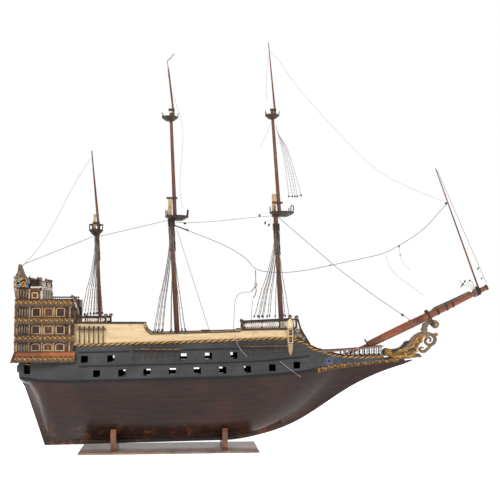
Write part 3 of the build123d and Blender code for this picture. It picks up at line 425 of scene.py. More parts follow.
M = {made.name: made for made in (
    grained("stand_top", (0.16, 0.1, 0.075), (0.3, 0.2, 0.15), (10, 150, 150), (0.3, 0.45), coat=0.25),
    grained("cradle", (0.12, 0.04, 0.02), (0.24, 0.09, 0.045), (120, 22, 120), coat=0.25,
            worn=(0.3, 0.15, 0.08)),
    grained("brown", (0.035, 0.015, 0.009), (0.1, 0.05, 0.03), (90, 90, 90), worn=(0.24, 0.13, 0.055)),
    grained("gallery", (0.055, 0.026, 0.015), (0.15, 0.078, 0.042), (20, 160, 160),
            worn=(0.32, 0.19, 0.085)),
    grained("tan", (0.28, 0.17, 0.085), (0.56, 0.4, 0.235), (150, 150, 20)),
    grained("cream", (0.5, 0.36, 0.21), (0.72, 0.57, 0.37), (120, 120, 22)),
    grained("deck", (0.3, 0.19, 0.1), (0.47, 0.33, 0.19), (12, 240, 240)),
    grained("rail", (0.055, 0.025, 0.016), (0.15, 0.075, 0.045), (40, 160, 160), worn=(0.4, 0.28, 0.17)),
    grained("spar", (0.07, 0.02, 0.011), (0.17, 0.055, 0.028), (420, 420, 12), coat=0.25,
            worn=(0.24, 0.1, 0.05)),
    grained("bowsprit", (0.1, 0.022, 0.008), (0.3, 0.085, 0.027), (9, 260, 260), coat=0.3,
            worn=(0.05, 0.016, 0.01)),
    grained("skirt", (0.2, 0.05, 0.011), (0.42, 0.13, 0.032), (16, 160, 160), (0.6, 0.8),
            worn=(0.36, 0.17, 0.06)),
    grained("white", (0.5, 0.42, 0.33), (0.78, 0.7, 0.6), (120, 120, 30), worn=(0.3, 0.2, 0.13)),
    hull_varnish(),
    topside_paint(),
    gilt("gold", (0.27, 0.14, 0.036), (0.045, 0.025, 0.015), 150, 0.54),
    gilt("bright_gold", (0.5, 0.26, 0.055), (0.085, 0.042, 0.02), 230, 0.49),
    plain_paint("black", (0.012, 0.009, 0.008), (0.036, 0.024, 0.018), (0.11, 0.055, 0.03)),
    plain_paint("strake", (0.004, 0.004, 0.004), (0.012, 0.011, 0.011), (0.05, 0.03, 0.02), (0.6, 0.8)),
    plain_paint("top", (0.02, 0.012, 0.009), (0.06, 0.034, 0.022), (0.19, 0.105, 0.055)),
    plain_paint("blue", (0.11, 0.13, 0.145), (0.24, 0.27, 0.28), (0.28, 0.16, 0.09)),
    plain_paint("pane", (0.06, 0.02, 0.011), (0.13, 0.043, 0.022), (0.22, 0.09, 0.045), (0.2, 0.4)),
    plain_paint("pink_brown", (0.14, 0.07, 0.05), (0.27, 0.15, 0.115), (0.4, 0.27, 0.17)),
    plain_paint("window", (0.022, 0.009, 0.006), (0.055, 0.022, 0.014), (0.12, 0.06, 0.035), (0.12, 0.3)),
    # near-black paint laid where there is only shade: painted shade in openings and recesses
    plain_paint("painted_shade_black", (0.002, 0.002, 0.002), (0.006, 0.005, 0.005), (0.012, 0.009, 0.008), (0.7, 0.9)),
    plain_paint("figure", (0.075, 0.052, 0.038), (0.2, 0.145, 0.1), (0.42, 0.24, 0.08)),
    plain_paint("channel", (0.045, 0.022, 0.014), (0.13, 0.07, 0.045), (0.26, 0.17, 0.11)),
    plain_paint("head", (0.02, 0.023, 0.03), (0.055, 0.062, 0.08), (0.12, 0.13, 0.19)),
    thread("thread", (0.3, 0.27, 0.24), (0.52, 0.49, 0.45)),
    thread("dark_thread", (0.02, 0.016, 0.014), (0.06, 0.048, 0.04)),
    thread("shroud", (0.09, 0.072, 0.06), (0.22, 0.18, 0.15)),
    thread("net", (0.22, 0.19, 0.165), (0.42, 0.37, 0.33)),
    metal("copper", (0.12, 0.05, 0.03), (0.32, 0.14, 0.085), (0.35, 0.55)),
    metal("wire", (0.045, 0.024, 0.015), (0.13, 0.07, 0.04), (0.4, 0.65)),
    metal("steel", (0.35, 0.35, 0.36), (0.55, 0.55, 0.56), (0.25, 0.45)),
    masthead_wood("fore_mast", 0.566),
    masthead_wood("main_mast", 0.553),
    masthead_wood("mizzen_mast", 0.517),
)}


NODE_MATERIALS = {
    "stand_top": ("stand_board",), "cradle": ("cradle_aft", "cradle_fore"), "steel": ("cradle_screws",),
    "hull": ("hull_bottom", "keel", "knee_of_head"), "topside": ("topside_starboard", "topside_port"),
    "strake": ("wales",), "black": ("cap_rails", "bowsprit_fittings"), "channel": ("channels",),
    "top": ("fore_top", "main_top", "mizzen_top", "mast_caps"), "rail": ("balustrades",),
    "cream": ("catheads",), "deck": ("weather_deck", "forecastle_deck", "after_decks", "upper_gun_deck"),
    "brown": ("deck_bulkheads", "beakhead_platform", "figurehead", "head_rails"),
    "gallery": ("quarter_gallery_starboard", "quarter_gallery_port", "transom", "taffrail"),
    "copper": ("stay_tackle_hook",), "wire": ("chains",),
    "spar": ("fore_topmast", "main_topmast", "mizzen_topmast", "fore_topgallant_mast",
             "main_topgallant_mast", "sprit_topmast"),
    "bowsprit": ("bowsprit",), "shroud": ("shrouds", "taut_stays"), "gold": ("rope_mouldings",),
    "fore_mast": ("fore_lower_mast",), "main_mast": ("main_lower_mast",),
    "mizzen_mast": ("mizzen_lower_mast",),
}

for key, names in NODE_MATERIALS.items():
    for node_name in names:
        mesh = NODES[node_name].data
        mesh.materials.clear()
        mesh.materials.append(M[key])


def add_cords():
    dark = ("main_stay", "fore_stay", "main_fore_stay", "hook_fall_aft", "hook_fall_fore")
    for name, route in CORDS.items():
        length, diameter, far_end, lay = CORD_FACTS[name]
        data = bpy.data.curves.new(name + "_line", "CURVE")
        data.dimensions = "3D"
        spline = data.splines.new("NURBS")
        spline.points.add(len(route) - 1)
        for point, place in zip(spline.points, route):
            point.co = (*place, 1)
        spline.order_u = 3
        spline.use_endpoint_u = True
        spline.resolution_u = 8
        data.bevel_depth = diameter / 2
        data.bevel_resolution = 2
        data.use_fill_caps = True
        line = bpy.data.objects.new(name + "_line", data)
        bpy.context.scene.collection.objects.link(line)
        data.materials.append(M["dark_thread"] if name in dark else M["thread"])
        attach(line, "ship")
        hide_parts(name)


add_cords()

# ---------------------------------------------------------------- hull lines (mm, as in the CAD part)

KEEL_HALF = 4           # half thickness of keel, post and stem
HALF_BEAM = 91          # widest half breadth, at the widest frame
WIDEST_FRAME = 20
RUN_FORE = 400          # from the widest frame to where the breadth would vanish
RUN_AFT = 463
FINENESS = 3.6          # exponent of the waterlines
TUMBLEHOME = 0.0016     # share of the beam lost per mm above the wales
STERN = -342            # aft end of the planking
STERN_FACE = -347       # after face of the stern's plating
BOW = 412               # fore end of the planking
POST_SLOPE = 0.345      # how far the sternpost leans aft per mm of height
CATHEAD = 278           # station of the catheads
BOWSPRIT_HEEL = (477, 242.7)
BOWSPRIT_SLOPE = 0.468


def half_beam(x):
    """Widest half breadth of the frame at x."""
    run = RUN_FORE if x > WIDEST_FRAME else RUN_AFT
    return HALF_BEAM * (1 - (abs(x - WIDEST_FRAME) / run) ** FINENESS)


def wale_line(x):
    """Height of the wales, where the dark bottom meets the painted topsides."""
    ahead = max(x + 235, 0)
    astern = min(x + 235, 0)
    bow = max(x - 145, 0)
    return 165.8 + 0.0215 * ahead + 17 * (bow / 260) ** 2 + 5.5 * (astern / 102) ** 2


def skin(x, z):
    """Half breadth of the topsides at station x and height z, above the wale line."""
    above = max(z - wale_line(x) - 6, 0)
    return half_beam(x) * (1 - TUMBLEHOME * above * above / (above + 25))


def rabbet(x):
    """Lowest point of the planking, on the keel, the post or the stem."""
    post = 13.4 - (x + 277) / POST_SLOPE
    if post > 22:
        return min(post, 156)
    return 22 + 0.018 * (x + 277) + 142.5 * (max(x - 130, 0) / 275) ** 2.15


def hull_side(x, z):
    """Half breadth of the planking at any height, and of the post, keel and knee beyond it."""
    if x > BOW or x < STERN:
        return KEEL_HALF
    widest = wale_line(x) + 6
    if z > widest:
        return skin(x, z)
    depth = max(0, (z - rabbet(x)) / (widest - rabbet(x)))
    fullness = 0.55 + 0.45 * ((x - WIDEST_FRAME) / 380) ** 2
    if x < WIDEST_FRAME:
        fullness = 0.55 + 1.1 * ((WIDEST_FRAME - x) / 340) ** 2.5
    return KEEL_HALF + (half_beam(x) - KEEL_HALF) * (1 - (1 - depth) ** 2) ** fullness


def faired(x, z):
    """The planking run smoothly into the knee or the post."""
    around = [hull_side(x + shift, z) for shift in (-24, -16, -8, 0, 8, 16, 24)]
    return max(hull_side(x, z), sum(around) / len(around))


# ---------------------------------------------------------------- mesh building

SIDES = ((-1, "starboard"), (1, "port"))


class Shape:
    """Gathers the vertices and faces of one piece, in millimetres."""

    def __init__(self, name):
        self.name = name
        self.materials = []
        self.points = []
        self.faces = []
        self.marks = []

    def use(self, material):
        """Faces added from here on have this material."""
        if material not in self.materials:
            self.materials.append(material)
        self.mark = self.materials.index(material)
        return self

    def add(self, points, faces):
        base = len(self.points)
        self.points += [Vector(point) for point in points]
        self.faces += [tuple(base + index for index in face) for face in faces]
        self.marks += [self.mark] * len(faces)

    def rings(self, rings):
        """Skin over a row of equal rings of points, closed at both ends."""
        count = len(rings[0])
        faces = []
        for row in range(len(rings) - 1):
            for index in range(count):
                after = (index + 1) % count
                faces.append((row * count + index, row * count + after,
                              (row + 1) * count + after, (row + 1) * count + index))
        faces.append(tuple(reversed(range(count))))
        faces.append(tuple((len(rings) - 1) * count + index for index in range(count)))
        self.add([point for ring in rings for point in ring], faces)

    def tube(self, route, radii, sides=6, wide=1.0):
        """Bar through points; radii is one number or one per point, wide stretches it across the ship."""
        route = [Vector(point) for point in route]
        if isinstance(radii, (int, float)):
            radii = [radii] * len(route)
        lead = Vector((0, 1, 0))
        rings = []
        for index, point in enumerate(route):
            way = direction(route, index)
            if abs(way.dot(lead)) > 0.95:
                lead = Vector((1, 0, 0)) if abs(way.x) < 0.9 else Vector((0, 0, 1))
            across = (lead - way * lead.dot(way)).normalized()
            other = way.cross(across)
            ring = []
            for corner in range(sides):
                angle = 2 * math.pi * (corner + 0.5) / sides
                ring.append(point + (across * (math.cos(angle) * wide) + other * math.sin(angle))
                            * radii[index])
            rings.append(ring)
        self.rings(rings)

    def turned(self, foot, tip, profile, sides=10):
        """Turned shape between two points; profile is (share of the length, radius) pairs."""
        foot = Vector(foot)
        tip = Vector(tip)
        way = (tip - foot).normalized()
        lead = Vector((0, 1, 0)) if abs(way.y) < 0.9 else Vector((1, 0, 0))
        across = (lead - way * lead.dot(way)).normalized()
        other = way.cross(across)
        self.rings([loop(foot.lerp(tip, share), across * radius, other * radius, sides)[:-1]
                    for share, radius in profile])

    def bead(self, centre, size, sides=8, rows=5):
        """Small rounded knob; size is one radius or one per axis."""
        if isinstance(size, (int, float)):
            size = (size, size, size)
        rings = []
        for row in range(rows + 1):
            tilt = math.pi * (0.04 + 0.92 * row / rows)
            rings.append(loop(Vector(centre) - Vector((0, 0, size[2] * math.cos(tilt))),
                              Vector((size[0] * math.sin(tilt), 0, 0)),
                              Vector((0, size[1] * math.sin(tilt), 0)), sides)[:-1])
        self.rings(rings)

    def slab(self, place, low, high, edge=0.4):
        """Block with chamfered outer edges in a wall's own (along, up, out) measures."""
        (u0, v0, w0), (u1, v1, w1) = low, high
        edge = min(edge, (u1 - u0) / 3, (v1 - v0) / 3, (w1 - w0) / 2)
        rings = []
        for inset, out in ((0, w0), (0, w1 - edge), (edge, w1)):
            rings.append([place(u0 + inset, v0 + inset, out), place(u1 - inset, v0 + inset, out),
                          place(u1 - inset, v1 - inset, out), place(u0 + inset, v1 - inset, out)])
        self.rings(rings)

    def scroll(self, place, out, volute, thick, sides=6, wide=1.0):
        """Raised volute on a wall, from the flat points of a spiral."""
        self.tube([place(u, v, out) for u, v in volute], thick, sides, wide)

    def finish(self, replaced=()):
        mesh = bpy.data.meshes.new(self.name)
        mesh.from_pydata([point * MM for point in self.points], [], self.faces)
        for material in self.materials:
            mesh.materials.append(M[material])
        mesh.polygons.foreach_set("material_index", self.marks)
        mesh.validate()
        grown = bmesh.new()
        grown.from_mesh(mesh)
        bmesh.ops.recalc_face_normals(grown, faces=grown.faces)
        grown.to_mesh(mesh)
        grown.free()
        mesh.shade_smooth()
        mesh.set_sharp_from_angle(angle=math.radians(38))
        piece = bpy.data.objects.new(self.name, mesh)
        bpy.context.scene.collection.objects.link(piece)
        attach(piece, "ship")
        if replaced:
            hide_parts(*replaced)


def direction(route, index):
    """Way of travel at a point of a route."""
    after = route[min(index + 1, len(route) - 1)]
    before = route[max(index - 1, 0)]
    return (after - before).normalized()


def loop(centre, across, along, count, turns=1):
    """Points round a circle or an ellipse, given by its two half axes; the last meets the first."""
    points = []
    for index in range(count + 1):
        angle = 2 * math.pi * turns * index / count
        points.append(centre + across * math.cos(angle) + along * math.sin(angle))
    return points


def smooth_route(points, share=4):
    """Catmull-Rom curve through points."""
    points = [Vector(point) for point in points]
    ends = [points[0] * 2 - points[1]] + points + [points[-1] * 2 - points[-2]]
    route = []
    for index in range(1, len(ends) - 2):
        a, b, c, d = ends[index - 1:index + 3]
        for step in range(share):
            t = step / share
            route.append(0.5 * (2 * b + (c - a) * t + (2 * a - 5 * b + 4 * c - d) * t * t
                                + (3 * b - 3 * c + d - a) * t * t * t))
    route.append(points[-1])
    return route


def smooth_flat(points, share=4):
    """The same curve through flat (along, up) points."""
    return [(point.x, point.y) for point in smooth_route([(u, v, 0) for u, v in points], share)]


def spiral(centre, start, radius, turns, tight=0.25, steps=10):
    """Flat (along, up) points of a volute that winds in from radius; turns may be negative."""
    count = max(6, round(abs(turns) * steps))
    route = []
    for index in range(count + 1):
        share = index / count
        angle = math.radians(start) + 2 * math.pi * turns * share
        reach = radius * (1 - (1 - tight) * share)
        route.append((centre[0] + reach * math.cos(angle), centre[1] + reach * math.sin(angle)))
    return route


def faded(first, loss, route):
    """Radii that shrink evenly along a route."""
    return [first - loss * index / len(route) for index in range(len(route))]


def swollen(ends, middle, route):
    """Radii that swell towards the middle of a route."""
    return [ends + middle * math.sin(math.pi * index / (len(route) - 1)) for index in range(len(route))]


def carving(shape, place, start, end, low, high, out, pitch, grey="figure"):
    """Running scrolls with leaves and beads along a wall, between two heights."""
    count = max(1, round((end - start) / pitch))
    pitch = (end - start) / count
    middle = (low + high) / 2
    half = (high - low) / 2
    radius = min(half * 0.62, pitch * 0.44)
    for index in range(count):
        flip = 1 if index % 2 else -1
        centre = start + pitch * (index + 0.5)
        hub = (centre, middle - flip * half * 0.2)
        volute = spiral(hub, 90 * flip, radius, 1.3 * flip, 0.2, 8)
        shape.use(grey if index % 2 else "bright_gold")
        shape.scroll(place, out + 0.5, volute, faded(0.85, 0.4, volute), 5)
        shape.bead(place(*hub, out + 0.4), 0.9, 6, 4)
        leaf = [(centre + pitch * u, middle + flip * half * v)
                for u, v in ((-0.48, 0.55), (-0.2, 0.92), (0.16, 0.7), (0.5, 0.1))]
        shape.use("bright_gold" if index % 2 else grey)
        shape.scroll(place, out + 0.35, leaf, [0.35, 1.15, 1.0, 0.3], 5)
        berry = place(centre + pitch * 0.44, middle - flip * half * 0.55, out + 0.2)
        shape.use("brown").bead(berry, 0.9, 6, 4)


def carved_band(shape, place, start, end, low, high, face, depth, pitch, trim=0):
    """Band of carving between two mouldings, standing out from a wall."""
    shape.use("brown").slab(place, (start, low - 0.4, face - depth), (end, low + 1.6, face + 1.2))
    shape.use("brown").slab(place, (start, high - 1.6, face - depth), (end, high + 0.6, face + 1.4))
    carving(shape, place, start + 1, end - trim, low + 1.6, high - 1.6, face, pitch)


def column(shape, place, along, low, high, out, radius):
    """Half-round column with base and capital."""
    profile = ((0, 1.5), (0.07, 1.5), (0.1, 1), (0.5, 1.15), (0.85, 0.85), (0.9, 1.4), (1, 1.6))
    shape.turned(place(along, low, out), place(along, high, out),
                 [(share, radius * girth) for share, girth in profile], 8)


def window(shape, place, span, heights, out, pane, frame="tan", arched=False, bar=1.3):
    """Framed window with glazing bars; the frame stands proud of the pane."""
    start, end = span
    low, high = heights
    width = end - start
    shape.use(pane).slab(place, (start, low, out - 1.2), (end, high, out - 0.3), 0.1)
    outline = [(start, low), (start, high), (end, high), (end, low)]
    if arched:
        rise = 4
        arch = [(start + width / 2 * (1 - math.cos(math.pi * step / 8)),
                 high - rise + rise * math.sin(math.pi * step / 8)) for step in range(9)]
        outline = [(start, low)] + arch + [(end, low)]
    shape.use(frame)
    for first, last in zip(outline, outline[1:]):
        shape.tube([place(*first, out), place(*last, out)], bar, 4)
    shape.slab(place, (start - bar, low - bar, out - 0.5), (end + bar, low + 0.6, out + bar + 0.3))
    shape.use("brown")
    for share in (0.33, 0.67):
        at = start + share * width
        shape.tube([place(at, low, out - 0.2), place(at, high - 0.6, out - 0.2)], 0.32, 4)
    for share in (0.35, 0.68):
        at = low + share * (high - low)
        shape.tube([place(start, at, out - 0.2), place(end, at, out - 0.2)], 0.32, 4)


# ---------------------------------------------------------------- quarter galleries and stern

# carved bands: low, high, distance from the middle plane, fore end
BANDS = ((209.5, 222.5, 86, -213), (254, 271, 87.5, -215), (294, 310, 87, -216), (334, 350, 86, -220))
# tiers of windows between them: low, high, distance from the middle plane, arched windows
TIERS = ((234, 253.5, 82, True), (271.5, 293.5, 81.5, False), (310.5, 333.5, 80.5, False))
GALLERY_WINDOWS = ((-309.5, -291.8), (-282.5, -264), (-256, -237.8))
PILASTERS = ((-343, 1.9), (-315.5, 1.5), (-287, 1.3), (-261, 1.3), (-226, 1.8))
CABIN_FLOOR = 352.5
CABIN_ROOF = 376
CABIN_SIDE = 79.2
CABIN_FRONT = -293
CREST = smooth_flat([(-84, 401), (-60, 405), (-34, 413), (-14, 428), (0, 434), (14, 428), (34, 413),
                     (60, 405), (84, 401)])


def side_wall(hand):
    """Wall measures on one side: out is the distance from the ship's middle plane."""
    def place(along, up, out):
        return Vector((along, hand * out, up))
    return place


def stern_wall(along, up, out):
    """Wall measures on the after face: along runs to port."""
    return Vector((STERN_FACE - out, along, up))


def leaning(along, up, out):
    """The after face above the roof, which leans aft."""
    return stern_wall(along, up, out + max(0, up - 372) * 0.14)


def gallery_bands(shape, place):
    """Bands of carving between the tiers, with gilt lips."""
    for low, high, reach, fore in BANDS:
        carved_band(shape, place, -348, fore, low, high, reach, 4, 5.6)
        for lip in (low + 2.2, high - 2.2):
            shape.use("gold").tube([place(-348, lip, reach + 0.5), place(fore, lip, reach + 0.5)], 0.5, 5)


def gallery_tiers(shape, place):
    """Half-round pilasters, figures and framed windows."""
    for low, high, reach, arched in TIERS:
        shape.use("brown").slab(place, (STERN_FACE, low, reach - 3), (-217.4, high, reach + 0.1))
        shape.use("tan")
        for along, radius in PILASTERS:
            column(shape, place, along, low, high, reach + 0.8, radius)
        for along in (-337, -331.5, -325.5, -320):
            figure_post(shape, place, along, low, high, reach)
        for span, pane in zip(GALLERY_WINDOWS, ("window", "pane", "window")):
            window(shape, place, span, (low + 2.2, high - 2.6), reach + 0.6, pane, arched=arched, bar=1.7)
        shape.use("gold")
        for share in (0.3, 0.5, 0.7):
            shape.bead(place(-273.2, low + share * (high - low), reach + 0.4), (2, 0.9, 2.4))
        shape.use("brown")
        for along in (-232, -220.5):
            shape.slab(place, (along - 2, low + 1, reach - 2), (along + 2, high - 1, reach + 0.4))


def gallery_skirt(shape, place):
    """Sloping orange-brown board over the lowest band, and its carved wedge at the after corner."""
    profile = ((222.6, 87.2), (222.6, 80), (233.6, 80), (233.6, 82.4))
    shape.use("skirt").rings([[place(along, up, out) for up, out in profile] for along in (-347.4, -213)])
    wedge = [(-346, 234), (-346, 210), (-354, 207.5), (-355.5, 209), (-350, 226)]
    shape.use("brown").rings([[place(u, v, out) for u, v in wedge] for out in (80, 87.6)])
    shape.use("gold").scroll(place, 87.6, ((-347, 232), (-350, 222), (-354.5, 209)), 0.8, 5)


def figure_post(shape, place, along, low, high, reach):
    """Slim carved upright between the corner post and the windows."""
    middle = (low + high) / 2
    shape.use("figure")
    shape.tube([place(along, low + 0.6, reach + 0.5), place(along - 0.5, middle - 3, reach + 1.2),
                place(along + 0.5, middle + 3, reach + 1.6), place(along, high - 0.6, reach + 0.5)],
               [1.2, 1.9, 2.1, 1.0], 7)
    shape.bead(place(along, high - 4.2, reach + 1.9), (1.5, 1.5, 1.8), 7, 5)
    shape.use("gold")
    shape.tube([place(along - 1.4, middle + 1.5, reach + 2.2), place(along, middle - 1, reach + 3),
                place(along + 1.4, middle + 1.5, reach + 2.2)], [0.3, 0.6, 0.3], 5)


def cabin_side(shape, place):
    """The upper cabin's wall, its roof edge and the roof light stacked in steps."""
    shape.use("brown")
    shape.slab(place, (-346, CABIN_FLOOR, CABIN_SIDE - 2), (CABIN_FRONT, CABIN_ROOF, CABIN_SIDE + 0.2))
    shape.use("tan")
    for along, radius in ((-342.5, 2.2), (-317, 1.7)):
        column(shape, place, along, CABIN_FLOOR, CABIN_ROOF - 2, CABIN_SIDE + 0.8, radius)
    for along in (-335.5, -329.5, -323):
        figure_post(shape, place, along, CABIN_FLOOR + 0.5, CABIN_ROOF - 2, CABIN_SIDE)
    window(shape, place, (-310.5, -298.5), (354.5, 365.5), CABIN_SIDE + 0.6, "pane", bar=1.9)
    shape.use("pane").slab(place, (-314, 368.5, CABIN_SIDE - 2), (-294, CABIN_ROOF - 1, CABIN_SIDE + 1.1))
    shape.use("white")
    shape.slab(place, (-314.5, CABIN_ROOF, CABIN_SIDE - 8),
               (CABIN_FRONT - 0.5, CABIN_ROOF + 4, CABIN_SIDE + 1.8))
    # every other step of the roof light is near-black painted shade between the brown steps
    for row, (start, end) in enumerate(((-313, -295), (-314, -295.5), (-315, -297), (-317, -299))):
        low = CABIN_ROOF + 4 + 4 * row
        shape.use("painted_shade_black" if row % 2 else "brown")
        shape.slab(place, (start, low, 46 + row), (end, low + 4, 78.5 - row))
    shape.use("pane").bead(place(-299, 398.5, 76), (3.2, 3.2, 3.4), 10, 6)
    # near-black sheet behind the opening under the gallery, painted shade for its dark inside
    shape.use("painted_shade_black").slab(place, (-336, 174, 40), (-306, 213, 44))


def roof_rail(shape, place):
    """Low balustrade along the roof of the lower tiers."""
    start, end = (-289, -224)
    shape.use("black")
    for height, thick in ((CABIN_FLOOR + 0.3, 0.9), (358.4, 1.5)):
        shape.tube([place(start, height, 79), place(end, height, 79)], thick, 6)
    count = 14
    for index in range(count):
        along = start + (end - start) * (index + 0.5) / count
        shape.turned(place(along, 353, 79), place(along, 358, 79),
                     [(0, 0.9), (0.3, 1.2), (0.5, 0.6), (0.8, 1.0), (1, 0.9)], 6)


def gallery_fore_end(shape, place, fore):
    """Knob, console scroll and panel where the galleries end on the ship's side."""
    shape.use("figure").turned(place(fore, 344, 78), place(fore, 361.5, 78), [
        (0, 4.2), (0.25, 4.6), (0.4, 3), (0.55, 4.4), (0.75, 4.6), (0.9, 2.6), (1, 0.8)], 12)
    shape.use("white")
    shape.tube([place(fore + 4.4 * math.cos(0.6 * i), 350 + 3.4 * math.sin(0.6 * i), 82.6)
                for i in range(9)], 0.9, 6)
    arm = smooth_flat([(fore - 5, 346), (fore + 3, 344.5), (fore + 9, 339), (fore + 11.5, 331)], 5)
    shape.scroll(place, 80.5, arm, faded(2.8, 1.1, arm), 8, 1.3)
    shape.use("black").scroll(place, 80.5, spiral((fore + 9, 329.5), 0, 3.6, -1.4, 0.2), 1.3, 6, 2)
    shape.use("white").scroll(place, 82, spiral((fore - 1, 336), 90, 4.2, 1.4, 0.2), 1.1, 6, 1.5)
    shape.use("brown").slab(place, (fore - 3, 311, 74), (fore + 6, 343, 79.4))
    shape.use("pane")
    for along in (fore - 1, fore + 2, fore + 5):
        shape.tube([place(along, 311, 79.6), place(along, 334, 79.6)], 0.6, 5)


def quarter_scroll(shape, place):
    """Painted scrolls on the top rail beside the taffrail."""
    # near-black ground behind the scrolls is painted shade
    shape.use("painted_shade_black").slab(place, (-346, 377, 78), (-316, 396, 81.4))
    shape.use("black").tube([place(-346.5, 377.5, 82), place(-315.5, 377.5, 82)], 1.2, 6)
    for hub, size, turns, material in (
            ((-330.5, 386), 7.2, 1.5, "bright_gold"), ((-320.5, 389.5), 5.2, -1.4, "blue"),
            ((-341, 393), 4.6, -1.3, "blue"), ((-339.5, 382.5), 4.2, 1.2, "blue"),
            ((-322, 381), 3.4, 1.2, "blue"), ((-334, 397), 3.2, 1.2, "bright_gold")):
        shape.use(material).scroll(place, 83, spiral(hub, 160, size, turns, 0.18), 1.45, 6, 1.2)
    shape.use("black")
    for row in range(3):
        shape.slab(place, (-317 + 2 * row, 380 + 4 * row, 58 + row), (-300 - row, 383 + 4 * row, 79.5 - row))
    rail = smooth_flat([(-347, 405), (-332, 402), (-318, 396.5), (-303, 393.5)])
    shape.use("brown").scroll(place, 81, rail, 2.2, 8, 1.4)
    shape.use("bright_gold").scroll(place, 82, [(u, v - 2.4) for u, v in rail[:9]], 1.2, 8, 1.4)


def add_galleries():
    for hand, side in SIDES:
        shape = Shape("gallery_carving_" + side)
        place = side_wall(hand)
        gallery_bands(shape, place)
        gallery_skirt(shape, place)
        gallery_tiers(shape, place)
        cabin_side(shape, place)
        if hand > 0:
            roof_rail(shape, place)
        gallery_fore_end(shape, place, -222 if hand < 0 else -236)
        quarter_scroll(shape, place)
        shape.finish()


def add_cabin_front():
    """Front of the upper cabin: white arches across the ship under a small balustrade."""
    shape = Shape("cabin_front")

    def place(across, up, out):
        return Vector((CABIN_FRONT + out, across, up))

    # near-black sheet behind the arches is painted shade for the dark inside
    shape.use("painted_shade_black").slab(place, (-78, 351, -3), (78, 377, -0.4))
    shape.use("white")
    posts = (-75, -37.5, 0, 37.5, 75)
    for across in posts:
        column(shape, place, across, 343 if abs(across) < 44 else 350.5, 369, 2.0, 3.4)
    half = (posts[1] - posts[0]) / 2
    for first in posts[:-1]:
        shape.scroll(place, 2.2, [(first + half + half * math.cos(math.pi * i / 10),
                                   366.5 + 9 * math.sin(math.pi * i / 10)) for i in range(11)], 2.4, 6)
    shape.slab(place, (-80, 377, -5), (80, 380.5, 4))
    shape.use("brown").slab(place, (-79, 380.5, -3.5), (79, 382, 3))
    for index in range(11):
        across = -75 + 15 * index
        material, girth = ("figure", 1.7) if index % 5 == 0 else ("white", 1)
        profile = ((0, 2.4), (0.15, 3), (0.3, 1.5), (0.6, 2.8), (0.85, 1.6), (1, 2.2))
        shape.use(material).turned(place(across, 382, 0), place(across, 391.5, 0),
                                   [(share, radius * girth) for share, radius in profile], 8)
    shape.use("brown").slab(place, (-78, 391, -2.2), (78, 394, 2.2))
    shape.use("figure")
    for across in (-75, 0, 75):
        shape.bead(place(across, 397, 0), (4, 4, 4.4), 10, 6)
    shape.finish()


def add_taffrail_board():
    """Board that closes the stern above the roof, with carved figures at its corners."""
    shape = Shape("taffrail_board")
    outline = [(-84, 352.4)] + CREST + [(84, 352.4)]
    shape.use("figure").rings([[leaning(u, v, out) for u, v in outline] for out in (-5, 0)])
    for hand in (-1, 1):
        post = smooth_flat([(-345, 362), (-348, 378), (-349, 392), (-347, 404), (-344, 411)])
        shape.use("brown").scroll(side_wall(hand), 80, post, [
            2.6, 3.6, 4, 3.8, 4, 3.6, 3.4, 3.4, 3.2, 3, 2.6, 2.4, 2.2, 1.8, 1.5, 1.2, 0.8], 9)
        shape.use("tan")
        for up, out in ((374, 1), (384, 4.5), (394, 5), (404, 2.5)):
            shape.bead((-347 - out * 0.3, hand * 83, up), (2.2, 2.0, 2.8), 8, 5)
    shape.use("dark_thread").tube([(-344, 0, 435), (-350, 0, 430), (-356, 0, 424)], 0.7, 6)
    shape.finish(replaced=("taffrail",))


def stern_sun(shape):
    """Oval frame round a boss with gilt rays, in the middle of the taffrail."""
    oval = loop(Vector((0, 376, 0)), Vector((26, 0, 0)), Vector((0, 18, 0)), 32)
    shape.use("tan").tube([leaning(point.x, point.y, 1) for point in oval], 1.5, 6)
    shape.use("bright_gold")
    for index in range(16):
        angle = 2 * math.pi * index / 16
        shape.tube([leaning(wide * math.cos(angle), 376 + tall * math.sin(angle), out)
                    for wide, tall, out in ((5, 4, 0.8), (14, 10, 1.2), (22, 15, 0.8))], [0.8, 1.9, 0.4], 6)
    shape.use("tan").bead(leaning(0, 376, 1), (1.4, 5, 4.5))


def add_stern_carving():
    """The after face, guessed to repeat the side's tiers, under a carved taffrail."""
    shape = Shape("stern_carving")
    for low, high, reach, fore in BANDS:
        carved_band(shape, stern_wall, -86, 86, low, high, 0.4, 3.4, 8.1, trim=1)
    for low, high, reach, arched in TIERS:
        for index in range(7):
            along = -69 + 23 * index
            window(shape, stern_wall, (along - 7.5, along + 7.5), (low + 2, high - 2.5), 0.6, "window",
                   arched=arched)
        shape.use("tan")
        for index in range(8):
            column(shape, stern_wall, -80.5 + 23 * index, low, high, 1, 1.3)
    shape.use("skirt").slab(stern_wall, (-84, 223, -2), (84, 233, 0.9))
    shape.use("bright_gold")
    for hand in (-1, 1):
        for along, up, size, turns in ((62, 380, 12, 1.6), (40, 392, 10, -1.6), (74, 362, 8, -1.4),
                                       (20, 404, 10, 1.5), (50, 364, 8, 1.4)):
            volute = spiral((hand * along, up), 90, size, turns * hand, 0.15, 14)
            shape.scroll(leaning, 0.8, volute, faded(1.9, 1.1, volute), 6)
    stern_sun(shape)
    shape.use("gold").scroll(leaning, -2, [(u, v - 1) for u, v in CREST], 2.4, 8, 1.3)
    for index, (along, up) in enumerate(CREST[2:-2:2]):
        shape.use("bright_gold" if index % 2 else "white")
        shape.bead(leaning(along, up - 5.2, 0.7), (1.0, 2.1, 2.1), 8, 5)
    shape.use("black").slab(stern_wall, (-13, 186, -1), (13, 189, 2))
    for along in (-34, 34):
        window(shape, stern_wall, (along - 7, along + 7), (186, 200), 0.6, "window", frame="brown")
    shape.finish()


add_galleries()
add_cabin_front()
add_taffrail_board()
add_stern_carving()


# ---------------------------------------------------------------- mouldings along the hull

